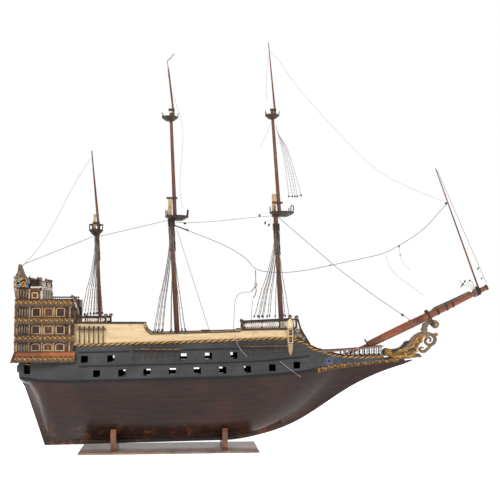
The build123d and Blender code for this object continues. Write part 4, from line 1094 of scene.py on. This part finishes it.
# places (x, z) or (x, half breadth, z) along the ship's side
ROPE = [(-209, 247.5), (-66, 251.5), (26, 254), (120, 257.5), (207, 260.5), (262, 260.8), (294, 256),
        (315, 248), (334, 236), (367, 225.5), (398, 217.5)]
HEAD_ROPE = [(398, 17.6, 217.5), (414, 19.5, 216), (430, 18.8, 215), (470, 15, 214), (512, 11.4, 215.5)]
BOW_BAND = [(346, 185), (403, 192), (454.5, 197), (507.5, 203), (552, 205)]
KNEE_EDGE = [(130, 20), (198, 29), (286, 56), (364, 100.5), (439, 147), (505, 177), (566, 197)]


def between(points, x, item=1):
    """Value at x on a row of points, in straight steps."""
    for first, last in zip(points, points[1:]):
        if x <= last[0]:
            share = max(0, (x - first[0]) / (last[0] - first[0]))
            return first[item] + (last[item] - first[item]) * share
    return points[-1][item]


def skin_grid(shape, hand, stations, edges, breadth, rows):
    """Open surface on the hull's side; edges gives its lines at a station, breadth its half breadth."""
    points = []
    for x in stations:
        low, high = edges(x)
        for step in range(rows + 1):
            share = step / rows
            z = low + (high - low) * share
            points.append((x, hand * breadth(x, z, share), z))
    across = rows + 1
    faces = []
    for column_index in range(len(stations) - 1):
        for row in range(rows):
            corner = column_index * across + row
            faces.append((corner, corner + 1, corner + across + 1, corner + across))
    shape.add(points, faces)


def planking(flush):
    """Breadth that is let into the planking at station flush and stands proud of it farther on."""
    def breadth(x, z, share):
        return faired(x, z) - 0.6 + 1.3 * min(1, abs(x - flush) / 40)
    return breadth


def forefoot_edges(x):
    """From the knee's lower edge up to the wales or the bow's carved band."""
    high = wale_line(x) - 3.5
    if x > BOW_BAND[0][0]:
        high = min(high, between(BOW_BAND, x))
    return between(KNEE_EDGE, x) + 2.5, high


def run_edges(x):
    """From beside the sternpost up to the wales."""
    return max(24, 13.4 - (x + 289) / POST_SLOPE + 3), wale_line(x) - 3


def head_edges(x):
    """From the bow's carved band up to the rope moulding."""
    high = between(HEAD_ROPE, x, 2) if x > ROPE[-1][0] else between(ROPE, x)
    return between(BOW_BAND, x) - 1, high


def head_breadth(x, z, share):
    """Flares from the planking at the band out to the rope moulding."""
    low, high = head_edges(x)
    reach = between(HEAD_ROPE, x, 1) if x > ROPE[-1][0] else skin(x, high)
    return faired(x, low) + 0.5 + (reach - faired(x, low)) * share ** 1.4


def add_hull_fairing():
    """Fair run of the planking into the stem and the post, and the painted sides of the head."""
    for hand, side in SIDES:
        shape = Shape("hull_fairing_" + side)
        shape.use("hull")
        skin_grid(shape, hand, range(262, 476, 6), forefoot_edges, planking(262), 28)
        skin_grid(shape, hand, range(-340, -236, 5), run_edges, planking(-236), 28)
        shape.use("head")
        skin_grid(shape, hand, range(382, 519, 6), head_edges, head_breadth, 8)
        shape.finish()


def even(route, gap):
    """The same line with points an even distance apart."""
    result = [route[0]]
    left = gap
    for start, end in zip(route, route[1:]):
        length = (end - start).length
        while length > left:
            start = start.lerp(end, left / length)
            length -= left
            result.append(start.copy())
            left = gap
        left -= length
    return result


def twisted(shape, route, radius, strand, pitch, hand, materials):
    """Strands laid in a helix about a line."""
    gap = 1.3
    route = even(route, gap)
    for number, material in enumerate(materials):
        points = []
        for index, point in enumerate(route):
            way = direction(route, index)
            across = way.cross(Vector((0, 1, 0))).normalized()
            other = way.cross(across)
            angle = 2 * math.pi * (gap * index / pitch + number / len(materials))
            spot = point + (across * math.cos(angle) + other * math.sin(angle)) * radius
            points.append(Vector((spot.x, hand * spot.y, spot.z)))
        shape.use(material).tube(points, strand, 5)


def add_rope_mouldings():
    for hand, side in SIDES:
        shape = Shape("rope_moulding_" + side)
        route = [Vector((x, skin(x, z) + 0.6, z)) for x, z in smooth_flat(ROPE, 14)]
        route += smooth_route([route[-1]] + [Vector(point) for point in HEAD_ROPE[1:]], 8)[1:]
        twisted(shape, route, 1.5, 1.65, 29, hand, ("bright_gold", "brown") * 2)
        shape.finish(replaced=("rope_mouldings",) if hand < 0 else ())


def add_bow_band():
    """Gilt carved band under the head, between the varnished bottom and the paint."""
    start, end = BOW_BAND[0][0], BOW_BAND[-1][0]
    for hand, side in SIDES:
        shape = Shape("bow_carving_" + side)

        def place(along, up, out):
            height = between(BOW_BAND, along) + up * (1 - 0.42 * (along - start) / (end - start))
            return Vector((along, hand * (faired(along, height) + 1.1 + out), height))

        shape.use("brown")
        for low in range(start, end - 5, 6):
            shape.slab(place, (low - 0.1, -5, -2.4), (low + 6.1, 5, 0.1), 0.1)
        carving(shape, place, start, end, -5.5, 5.5, 0.4, 8.6, grey="gold")
        shape.use("gold")
        for lift in (-4.8, 4.8):
            shape.tube([place(x, lift, 0.2) for x in range(start, end, 6)], 0.7, 5)
        shape.finish()


def cathead_post(shape, place):
    """Carved support of the cathead, with a turned head above and a drop below."""
    face = skin(CATHEAD, 280) + 8.6
    shape.use("cream").slab(place, (271.6, 248, face - 9), (284.4, 296, face + 0.8))
    shape.use("black")
    for low in (252, 268):
        shape.slab(place, (273.6, low, face + 0.2), (282.4, low + 13, face + 1.1))
    shape.use("bright_gold")
    for up, start, turns in ((258.5, 90, 1.3), (274.5, 270, -1.3)):
        shape.scroll(place, face + 1.4, spiral((CATHEAD, up), start, 3.4, turns), 0.5, 5)
    shape.use("cream").turned(place(CATHEAD, 286, face + 0.4), place(CATHEAD, 306, face - 3),
                              [(0, 6), (0.3, 7.2), (0.7, 6.4), (0.9, 4), (1, 1.5)], 14)
    drop = [(271.4, 250), (284.6, 250), (284.2, 236), (281.6, 227), (278, 219.5), (274.4, 227), (271.8, 236)]
    shape.use("tan").rings([[place(u, v, face - 8) for u, v in drop],
                            [place(u, v, face - 0.6) for u, v in drop],
                            [place(CATHEAD + (u - CATHEAD) * 0.6, 238 + (v - 238) * 0.7, face + 2.2)
                             for u, v in drop]])
    shape.use("brown")
    for up in (249.6, 283):
        shape.tube([place(270.6, up, face), place(285.4, up, face)], 1.3, 6)


def forecastle_end(shape, place):
    """Carved blue and gilt panel where the forecastle's side steps down."""
    def on_side(along, up, out):
        return place(along, up, skin(along, up) + out)

    panel = [(287, 264), (287, 281), (302, 281), (306, 276), (313, 266), (318, 257), (305, 257.5)]
    shape.use("black").rings([[on_side(u, v, out) for u, v in panel] for out in (-1, 0.9)])
    for hub, size, turns, material in (
            ((295, 272), 6.6, 1.5, "blue"), ((303.5, 266), 4.6, -1.4, "bright_gold"),
            ((292.5, 279), 3.4, -1.3, "tan"), ((311, 261), 3.4, 1.2, "blue"),
            ((299, 280), 3.2, 1.2, "bright_gold"), ((290, 264.5), 3.2, 1.2, "bright_gold")):
        shape.use(material).scroll(on_side, 1.6, spiral(hub, 200, size, turns, 0.18), 1.25, 6)
    edge = [on_side(x, z, -1.5) for x, z in ((298, 306), (303, 287), (309, 275), (317, 262), (327, 246))]
    shape.use("brown").tube(smooth_route(edge), 2.2, 8)


def add_cathead_carving():
    for hand, side in SIDES:
        shape = Shape("cathead_carving_" + side)
        cathead_post(shape, side_wall(hand))
        forecastle_end(shape, side_wall(hand))
        shape.finish(replaced=("catheads",) if hand < 0 else ())


def add_deadeyes():
    """Deadeyes and frayed lanyards on the channels, and the straps below them."""
    shape = Shape("channel_details")
    for start, end, height, count, foot in ((-209, -146, 284, 6, 251.5), (-87, 25, 238.5, 9, 213.5),
                                            (162, 270, 244, 9, 222)):
        strap = 1.25 if height > 260 else 0.6
        for hand in (-1, 1):
            edge = []
            for index in range(25):
                x = start + (end - start) * index / 24
                edge.append((x, hand * (skin(x, height) + 7), height + rng.uniform(-0.7, 0.5)))
            shape.use("channel").tube(edge, [2.1 + rng.uniform(-0.5, 0.5) for _ in edge], 7)
            for index in range(count):
                x = start + 5 + (end - start - 10) * index / (count - 1)
                y = skin(x, height) + 5.8
                lean = rng.uniform(-1.4, 1.4)
                shape.use("top").turned(
                    (x, hand * (y - 1.4), height + 4), (x, hand * (y + 1.4), height + 4),
                    [(0, 1.7), (0.2, 2.5), (0.45, 2.1), (0.55, 2.1), (0.8, 2.5), (1, 1.7)])
                if index % 3 != 1:
                    shape.use("dark_thread").tube(
                        [(x, hand * y, height + 6), (x + lean, hand * (y - 0.6), height + 9)], 0.5, 5)
                shape.use("wire").tube([(x, hand * (y + 3.2), height + 4), (x, hand * (y + 2.4), height - 3),
                                        (x, hand * (skin(x, foot) + 2.4), foot)], strap, 6)
    shape.finish(replaced=("chains",))


def head_rail(shape, hand):
    """Upper and lower rail of the beakhead with turned balusters between them."""
    near = hand < 0
    rail = smooth_route([(352, hand * 46, 231), (374, hand * 36.5, 229), (420, hand * 23, 231.5),
                         (470, hand * 16, 236), (512, hand * 11, 240)], 5)
    # the far side's rail is black as painted shade, the near side's pink-brown
    shape.use("pink_brown" if near else "black").tube(rail, 1.9, 8, 1.2)
    foot = smooth_route([(408, hand * 22.5, 219.6), (466, hand * 15, 219), (512, hand * 10.2, 219.6)], 5)
    shape.use("brown").tube(foot, 1.4, 6)
    # the far side's balusters are black as painted shade, the near side's blue
    shape.use("blue" if near else "black")
    for index in range(9):
        share = (index + 0.5) / 9
        low = foot[0].lerp(foot[-1], share)
        shape.turned(low, (low.x, low.y, 231 + 8.2 * share),
                     [(0, 2.3), (0.12, 2.3), (0.2, 1.2), (0.45, 2.2), (0.6, 1.3), (0.85, 2.1), (1, 2.3)])


def rosette(shape, hand):
    """Gilt rings round a boss on the side of the head."""
    x, z = (523.5, 224.6)
    for radius, thick, material in ((8.6, 1.3, "gold"), (5.6, 1.2, "bright_gold"), (2.9, 1.1, "gold")):
        shape.use(material).tube(loop(Vector((x, hand * 15, z)), Vector((radius, 0, 0)),
                                      Vector((0, 0, radius)), 24), thick, 6)
    shape.use("brown").turned((x, hand * 8, z), (x, hand * 14.6, z), [(0, 9), (0.9, 9), (1, 8)], 24)
    shape.use("bright_gold").bead((x, hand * 15, z), (2.2, 1.6, 2.2))


def add_head_work():
    """Rails, balusters, rosette, cheek carving and black cheeks of the beakhead."""
    shape = Shape("head_work")
    for hand in (-1, 1):
        head_rail(shape, hand)
        rosette(shape, hand)
        shape.use("bright_gold")
        for along, up, size, turns in (
                (540, 219, 6.5, 1.5), (553, 214, 5.2, -1.4), (566, 219, 6.5, 1.4), (577, 212, 4.6, -1.3),
                (588, 222, 6.2, 1.4), (556, 227, 5.5, -1.5), (571, 232, 5.5, 1.4), (584, 242, 5.5, -1.4),
                (596, 252, 5.2, 1.4)):
            shape.scroll(side_wall(hand), 6.6, spiral((along, up), 180, size, turns, 0.16), 1.25, 6, 1.2)
    middle = side_wall(1)
    cheek = smooth_flat([(530, 230), (543, 231), (554, 234.5), (563, 241), (569.5, 249), (576, 250),
                         (583, 250)])
    shape.use("black").scroll(middle, 0, cheek, 2.8, 8, 2.2)
    plate = [(526, 229), (543, 231), (554, 234.5), (563, 241), (569.5, 249), (584, 250), (578, 234),
             (556, 221), (530, 214)]
    shape.rings([[middle(u, v, out) for u, v in plate] for out in (-4.2, 4.2)])
    shape.scroll(middle, 0, ((548, 197.2), (560, 199.6), (574, 202.6), (587, 206)), [4.4, 4, 3, 0.8], 8)
    shape.finish(replaced=("head_rails",))


def limb(shape, material, points, radii, wide, ribs=()):
    """Tapering bar in the ship's middle plane; ribs are gilt edges raised on both faces."""
    route = smooth_route([(x, 0, z) for x, z in points], 5)
    spread = []
    for index in range(len(route)):
        share = index / (len(route) - 1) * (len(radii) - 1)
        low = min(int(share), len(radii) - 2)
        spread.append(radii[low] + (radii[low + 1] - radii[low]) * (share - low))
    shape.use(material).tube(route, spread, 12, wide)
    shape.use("gold")
    for rib in ribs:
        for hand in (-1, 1):
            edge = []
            for index, point in enumerate(route):
                way = direction(route, index)
                across = Vector((-way.z, 0, way.x)) * (rib * spread[index])
                bulge = wide * spread[index] * math.sqrt(1 - rib * rib)
                edge.append(point + across + Vector((0, hand * (bulge + 0.2), 0)))
            shape.tube(edge, [0.3 + 0.1 * radius for radius in spread], 6)


def figure_limbs(shape):
    """Scrolled limbs of the openwork, from the large volute to the leaves."""
    limb(shape, "figure", [
        (532, 215), (551, 223), (568, 232), (582, 243), (592, 256), (605, 266), (620, 269), (634, 267),
        (642, 261), (643, 252), (637, 244), (628, 242), (620, 247), (620, 255), (626, 260.5), (632, 257),
        (632, 251.5), (628.5, 250)],
        [5, 6.4, 7, 7.6, 7.8, 6.8, 5, 4.2, 4, 3.8, 3.6, 3.3, 3, 2.6, 2.3, 2, 1.7, 1.4], 1.1,
        (-0.84, 0.1, 0.86))
    limb(shape, "figure", [(632, 240), (624, 232), (616, 226.5), (608, 227), (605.5, 232.5), (609.5, 236.5),
                           (614.5, 234)], [3.2, 3.8, 4.2, 3.6, 2.8, 2.2, 1.4], 1.4, (-0.6, 0.6))
    limb(shape, "figure", [(532, 208), (555, 212), (574, 215), (589, 217), (602, 216.5), (609, 213)],
         [4.4, 5.4, 6, 5.6, 4.4, 1.6], 1.1, (-0.8, 0.3))
    limb(shape, "figure", [(572, 221), (587, 228), (596, 239), (604, 250), (612, 259)], [5.5, 6, 5, 4, 2.6],
         1.0, (-0.5, 0.5))
    limb(shape, "bright_gold", [(607, 250), (610, 258), (617, 263.5), (624, 264.5)],
         [2.2, 3.6, 3.2, 1.6], 1.6)
    limb(shape, "figure", [
        (618, 270), (617, 279), (619, 288), (624, 294), (631, 297), (640, 298.5), (647.5, 296),
        (649.5, 290), (644.5, 285.5), (639, 288.5), (641, 293), (645, 292.5)],
        [7, 6.8, 6.2, 5.4, 4.9, 4.7, 4.4, 4.2, 3.8, 3.4, 2.9, 2.5], 1.0, (-0.8, 0.8))
    limb(shape, "gold", ((620, 276), (613, 277), (608, 281.5)), (4, 3.4, 0.9), 1.4)
    limb(shape, "gold", ((620, 286), (614, 290), (616, 295)), (3, 2.6, 0.9), 1.4)
    limb(shape, "figure", ((636, 264), (647, 268), (649, 264)), (3.4, 3.6, 1.6), 1.4)


def add_figure_scroll():
    """Generic openwork scroll at the tip of the beak, in place of a figure."""
    shape = Shape("figure_scroll")
    figure_limbs(shape)
    for hand in (-1, 1):
        shape.use("bright_gold")
        for low, high, bend in (((549, 216), (572, 222), 3), ((560, 226), (583, 238), -3),
                                ((576, 234), (592, 252), 4), ((566, 215), (590, 224), 3),
                                ((586, 224), (600, 238), 4), ((592, 250), (608, 262), -3),
                                ((540, 212), (560, 214), -2), ((600, 246), (611, 258), 3)):
            middle = ((low[0] + high[0]) / 2 + bend, (low[1] + high[1]) / 2 - bend)
            vein = smooth_route([(low[0], hand * 6.6, low[1]), (middle[0], hand * 8.4, middle[1]),
                                 (high[0], hand * 6.6, high[1])], 5)
            shape.tube(vein, swollen(0.5, 1.3, vein), 6)
        shape.use("gold")
        for along, up, size in ((584, 221, 3), (578, 210.5, 2.6), (593, 229, 2.6), (564, 221, 2.8),
                                (555, 219, 2.6), (547, 217, 2.2), (592, 213, 2.2), (601, 214, 2)):
            shape.scroll(side_wall(hand), 7, spiral((along, up), 40, size, 1.3, 0.2), 0.9, 6)
        shape.use("bright_gold").bead((646.5, hand * 3, 291), (3.2, 2.2, 3.2), 10, 6)
    shape.finish(replaced=("figurehead",))


def balustrade(shape, hand, start, end, foot, rise, height, grow, count):
    """Dark rails on pale turned balusters over one bulwark; the height may grow forward."""
    def place(along, up):
        share = (along - start) / (end - start)
        level = foot + rise * share + up * (1 + grow * share)
        return Vector((along, hand * (skin(along, foot) - 2), level))

    stations = [start + (end - start) * i / 12 for i in range(13)]
    for up, thick, material in ((height - 1.4, 1.9, "black"), (height - 4.6, 1.1, "rail"),
                                (0.9, 1.5, "rail")):
        shape.use(material).tube([place(x, up) for x in stations], thick, 6)
    for index in range(count):
        along = start + 3 + (end - start - 6) * (index + 0.5) / count
        if abs(along - CATHEAD) < 6.5:
            continue
        shape.use("white" if index % 9 else "brown")
        shape.turned(place(along, 1.5), place(along, height - 4),
                     [(0, 1.2), (0.08, 1.2), (0.16, 0.6), (0.38, 1.15), (0.55, 0.6), (0.8, 0.9), (0.9, 1.2),
                      (1, 1.2)], 8)
    for along, side in ((start, -1), (end, 1)):
        shape.use("brown").tube([place(along, up) for up in (0, height * 0.5, height - 1)], [3, 2.4, 2.8], 8)
        shape.use("rail").tube([place(along + u, height - 1 + v)
                                for u, v in spiral((0, 2), 0, 4.4, 1.2 * side, 0.2)], 1.7, 6)
        shape.use("white").bead(place(along + side * 0.5, 2), (2.8, 2.6, 2.8), 8, 5)


def add_balustrades():
    """The poop's two rails and the forecastle's, of which the port one starts farther forward."""
    shape = Shape("balustrade_work")
    for hand in (-1, 1):
        balustrade(shape, hand, -208, -147, 298.6, 0, 14, 0, 13)
    for hand, start in ((-1, 166), (1, 175)):
        balustrade(shape, hand, start, 294, 282.8, 1.6, 17.5, 0.3, 27)
    shape.finish(replaced=("balustrades",))


add_hull_fairing()
add_rope_mouldings()
add_bow_band()
add_cathead_carving()
add_deadeyes()
add_head_work()
add_figure_scroll()
add_balustrades()


# ---------------------------------------------------------------- rigging

FORE_LINE = ((265.2, 308), (252.6, 548))
MAIN_LINE = ((15.5, 278), (0.8, 525))
MIZZEN_LINE = ((-166, 315), (-176, 500))
SHROUD_POINTS = 12


def mast_centre(line, z):
    """Point of a raked mast's centre line at a height."""
    (x0, z0), (x1, z1) = line
    return Vector((x0 + (x1 - x0) * (z - z0) / (z1 - z0), 0, z))


def spar_centre(x):
    """Centre line of the bowsprit."""
    return Vector((x, 0, BOWSPRIT_HEEL[1] + BOWSPRIT_SLOPE * (x - BOWSPRIT_HEEL[0])))


def shroud_route(line, top, low, hand, radius, index):
    """From the masthead to the deadeye, drawn in towards the mast over the upper part."""
    route = []
    for step in range(SHROUD_POINTS + 1):
        share = step / SHROUD_POINTS
        spot = top.lerp(low, share)
        bunch = Vector((mast_centre(line, spot.z).x + 2.2 * (index - 2.5), hand * (radius + 1.5), spot.z))
        route.append(spot.lerp(bunch, max(0, 1 - share * 1.5) * 0.5))
    return route


def ratlines(shape, first, last):
    """Sagging ratlines between two shrouds; about one in six is broken off."""
    count = 18
    for rung in range(count):
        place = (rung + 0.6) / count * SHROUD_POINTS
        low = min(int(place), SHROUD_POINTS - 1)
        a = first[low].lerp(first[low + 1], place - low)
        b = last[low].lerp(last[low + 1], place - low)
        if rng.random() < 0.16:
            b = a.lerp(b, rng.uniform(0.3, 0.6)) - Vector((0, 0, rng.uniform(0.5, 2)))
        middle = a.lerp(b, 0.5) - Vector((0, 0, rng.uniform(0.2, 0.9)))
        shape.use("net").tube([a, middle, b], 0.2, 4)


def shrouds_of(shape, line, head, radius, feet, height):
    """Both sides' shrouds of one mast, with their upper deadeyes and fuzzy ratlines."""
    for hand in (-1, 1):
        routes = []
        for index, foot in enumerate(feet):
            top = mast_centre(line, head - 4 * index) + Vector((0, hand * (radius + 1), 0))
            low = Vector((foot, hand * (skin(foot, height) - 5.5), height + 0.6 * index))
            route = shroud_route(line, top, low, hand, radius, index)
            routes.append(route)
            shape.use("shroud").tube(route, 0.72, 5)
            shape.tube([point + Vector((0.9 * math.sin(3 * i), 0.5, 0)) for i, point in enumerate(route)],
                       0.32, 4)
            shape.use("top").turned(low + Vector((0, 0, 1)), low + Vector((0, 0, 7)),
                                    [(0, 0.9), (0.3, 1.9), (0.7, 1.9), (1, 0.9)], 8)
        for first, last in zip(routes, routes[1:]):
            if abs(first[-1].x - last[-1].x) <= 18:
                ratlines(shape, first, last)


def masthead_binding(shape, line, head, radius):
    """The shroud tops, laid side by side round the mast and served with twine."""
    count = 14
    for index in range(count):
        route = []
        for step in range(9):
            swirl = 2 * math.pi * index / count + 0.12 * step * (1 if index % 2 else -1)
            reach = radius + 0.6 + 0.25 * math.sin(2.1 * step + index)
            route.append(mast_centre(line, head + 24 - 9.5 * step)
                         + Vector((reach * math.cos(swirl), reach * math.sin(swirl), 0)))
        shape.use("shroud" if index % 3 else "dark_thread").tube(route, 0.85, 5)
    reach = radius + 1.9
    shape.use("dark_thread")
    for turn in range(6):
        centre = mast_centre(line, head + 22 - 3 * turn)
        ring = loop(centre, Vector((reach, 0, 0)), Vector((0, reach, 0)), 18)
        shape.tube([point + Vector((0, 0, 1.4 * i / 18)) for i, point in enumerate(ring)], 0.7, 5)


def torn_net(shape):
    """What is left of the fore topmast's shrouds: five strands with a ragged net between them."""
    lines = []
    for index, (x, z) in enumerate(((284.9, 605), (293.5, 605), (300.1, 605), (305.5, 605.5), (314.9, 608))):
        route = smooth_route([(252.5 + 1.2 * index, 0, 780 - 5.5 * index), (268 + 3.2 * index, 0, 722),
                              (277.5 + 5.2 * index, 0, 668), (x, 0, z)], 8)
        lines.append(route)
        shape.use("net").tube(route, 0.62, 5)
        shape.use("top").turned((x, -1.6, z - 2), (x, 1.6, z - 2),
                                [(0, 1.4), (0.3, 2.4), (0.7, 2.4), (1, 1.4)])
    shape.use("net")
    for first, last in zip(lines, lines[1:]):
        for a, b in zip(first[1:], last[1:]):
            if rng.random() < 0.2:
                continue
            sag = Vector((rng.uniform(-0.6, 0.6), rng.uniform(-0.8, 0.8), -rng.uniform(0.3, 1.6)))
            shape.tube([a, a.lerp(b, 0.5) + sag, b], 0.28, 4)
            if rng.random() < 0.6:
                shape.bead(a, 0.8, 6, 4)


def add_shrouds():
    """Bunched shrouds of the three masts and the torn net at the fore topmast."""
    shape = Shape("shroud_lines")
    for line, head, radius, feet, height in (
            (FORE_LINE, 512, 6.3, (206, 215, 225, 244, 268, 278), 307),
            (MAIN_LINE, 520, 6.3, (-38, -29, -19.5, 1.5, 27, 35), 273),
            (MIZZEN_LINE, 496, 4.7, (-202, -195, -188, -182, -173.5, -166), 313)):
        shrouds_of(shape, line, head, radius, feet, height)
        masthead_binding(shape, line, head, radius)
    torn_net(shape)
    shape.finish(replaced=("shrouds",))


def block(shape, centre, size, way):
    """Small egg-shaped wooden block with a strop round it."""
    centre = Vector(centre)
    way = Vector(way).normalized() * size
    profile = ((0, 0.3), (0.15, 0.75), (0.4, 1), (0.47, 0.86), (0.53, 0.86), (0.6, 1), (0.85, 0.75),
               (1, 0.3))
    shape.use("top").turned(centre - way * 1.4, centre + way * 1.4,
                            [(share, girth * size) for share, girth in profile])
    shape.use("dark_thread").tube([centre - way * 1.9, centre - way * 1.4], 0.4, 5)
    shape.tube([centre + way * 1.4, centre + way * 1.9], 0.4, 5)


def seizing(shape, centre, way, radius, material):
    """Five close turns of twine about a line."""
    way = Vector(way).normalized()
    across = Vector((0, 1, 0))
    reach = radius + 0.3
    coil = loop(Vector(centre), across * reach, way.cross(across) * reach, 60, turns=5)
    shape.use(material).tube([point + way * 5 * (i / 60 - 0.5) for i, point in enumerate(coil)], 0.55, 5)


def bowsprit_wrapping(shape):
    """Worn grey sheathing laid along the top of the bowsprit, and the lashing of the sprit mast."""
    shape.use("figure")
    for index in range(9):
        angle = math.radians(54 + 9 * index)
        route = []
        for x in range(636, 735, 7):
            reach = 9.6 - 2.3 * (x - 636) / 100 + 0.3 * math.sin(0.31 * x + index)
            route.append(spar_centre(x) + Vector((0, reach * math.cos(angle),
                                                  reach * math.sin(angle) * 1.08)))
        shape.tube(route, 1.1, 5)
    for turn in range(5):
        centre = spar_centre(744 + 3.2 * turn)
        ring = loop(centre, Vector((0, 8.2, 0)), Vector((-4 * BOWSPRIT_SLOPE, 0, 8.2)), 16)
        shape.use("dark_thread" if turn > 1 else "figure").tube(ring, 1.7, 6)


def add_rigging_details():
    """Blocks, seizings, knots and what is left of broken lines."""
    shape = Shape("rigging_blocks")
    for x, z, size, way in ((33, 534.5, 2.4, (1, 0, -0.1)), (38.6, 519, 2.2, (1, 0, -0.4)),
                            (387, 435.5, 1.8, (1, 0, 0.2)), (563.4, 314.9, 3.0, (1, 0, -0.66))):
        block(shape, (x, 0, z), size, way)
    for x, z in ((213.4, 558), (227, 540), (236, 535)):
        shape.use("thread").tube(smooth_route([(244, 0, z + 4), (x + 6, 0, z + 3), (x, 0, z)]), 0.4, 5)
        block(shape, (x, 0, z - 2.5), 2.4, (0.3, 0, 1))
    # thick served collar of the main stay
    collar = smooth_route([(3, 0, 533), (8, 0, 530), (24, 0, 523.6), (42, 0, 516.5)], 6)
    shape.use("dark_thread").tube(collar, 1.5, 8)
    seizing(shape, (677, 0, 590), (-0.328, 0, 0.945), 2.1, "dark_thread")
    seizing(shape, spar_centre(650), (1, 0, BOWSPRIT_SLOPE), 9, "dark_thread")
    seizing(shape, spar_centre(584), (1, 0, BOWSPRIT_SLOPE), 10, "figure")
    bowsprit_wrapping(shape)
    # broken wires and blocks standing up behind the sprit mast
    for points, radius, material in (
            (((744, 0, 378), (742, -3, 388), (738, -4, 396), (733, -3, 399)), 0.6, "dark_thread"),
            (((741, 2, 376), (732, 3, 384), (722, 3, 388), (714, 2, 388)), 0.7, "thread"),
            (((743, -2, 377), (734, -3, 388), (724, -3, 394)), 0.5, "figure"),
            (((716, 0, 389), (710, 0, 396), (706, 0, 401)), 0.5, "figure")):
        shape.use(material).tube(smooth_route(points, 5), radius, 5)
    for x, z, size in ((733, 399, 1.9), (721, 397, 2.2), (716, 390, 2.4), (712, 385, 1.8), (755, 429, 2.1),
                       (764, 405, 1.8)):
        block(shape, (x, 0, z), size, (0.5, 0, 1))
    # knots of the dangling threads
    shape.use("dark_thread")
    for x, z, size in ((557, 482.8, 2.3), (559.5, 462, 1.6)):
        shape.bead((x, 0, z), (size, size, size * 1.3), 8, 5)
    shape.finish()


def round_mast(x, z, radius, angle):
    """Point at a distance from the mast's centre line."""
    return Vector((x + radius * math.cos(angle), radius * math.sin(angle), z))


def add_top_rails():
    """What is left of the rails round the tops, with the ribs under the tops."""
    shape = Shape("top_rails")
    for centre, floor, radius, spans, rise in (
            (267.5, 562, 27.4, ((0, -45),), 16), (13.6, 550, 25.9, ((0, 25), (0, -25)), 16),
            (-178, 515.5, 14.4, [(start, start + 60) for start in range(0, 360, 60)], 14)):
        shape.use("top")
        for low, high in spans:
            angles = [math.radians(low + (high - low) * step / 6) for step in range(7)]
            shape.tube([round_mast(centre, floor + rise, radius + 1.5, angle) for angle in angles], 1.3, 6)
        reach = radius + 1.8
        shape.use("black").tube(loop(Vector((centre, 0, floor + 1.2)), Vector((reach, 0, 0)),
                                     Vector((0, reach, 0)), 40), 1.0, 6)
        shape.use("top")
        for index in range(12):
            angle = 2 * math.pi * index / 12
            shape.tube([round_mast(centre, floor - 9, radius * 0.43, angle),
                        round_mast(centre, floor - 1.6, radius, angle)], 0.8, 5)
    # stanchions of the topmast tops
    for x, z, radius in ((244, 805, 17), (-5, 795, 19)):
        for degrees in (0, 70, 140, 200, 290):
            angle = math.radians(degrees)
            foot = round_mast(x, z - 4, radius, angle)
            shape.tube([foot, foot + Vector((math.cos(angle), 0, 12))], 1.0, 6)
    shape.finish()


add_shrouds()
add_rigging_details()
add_top_rails()
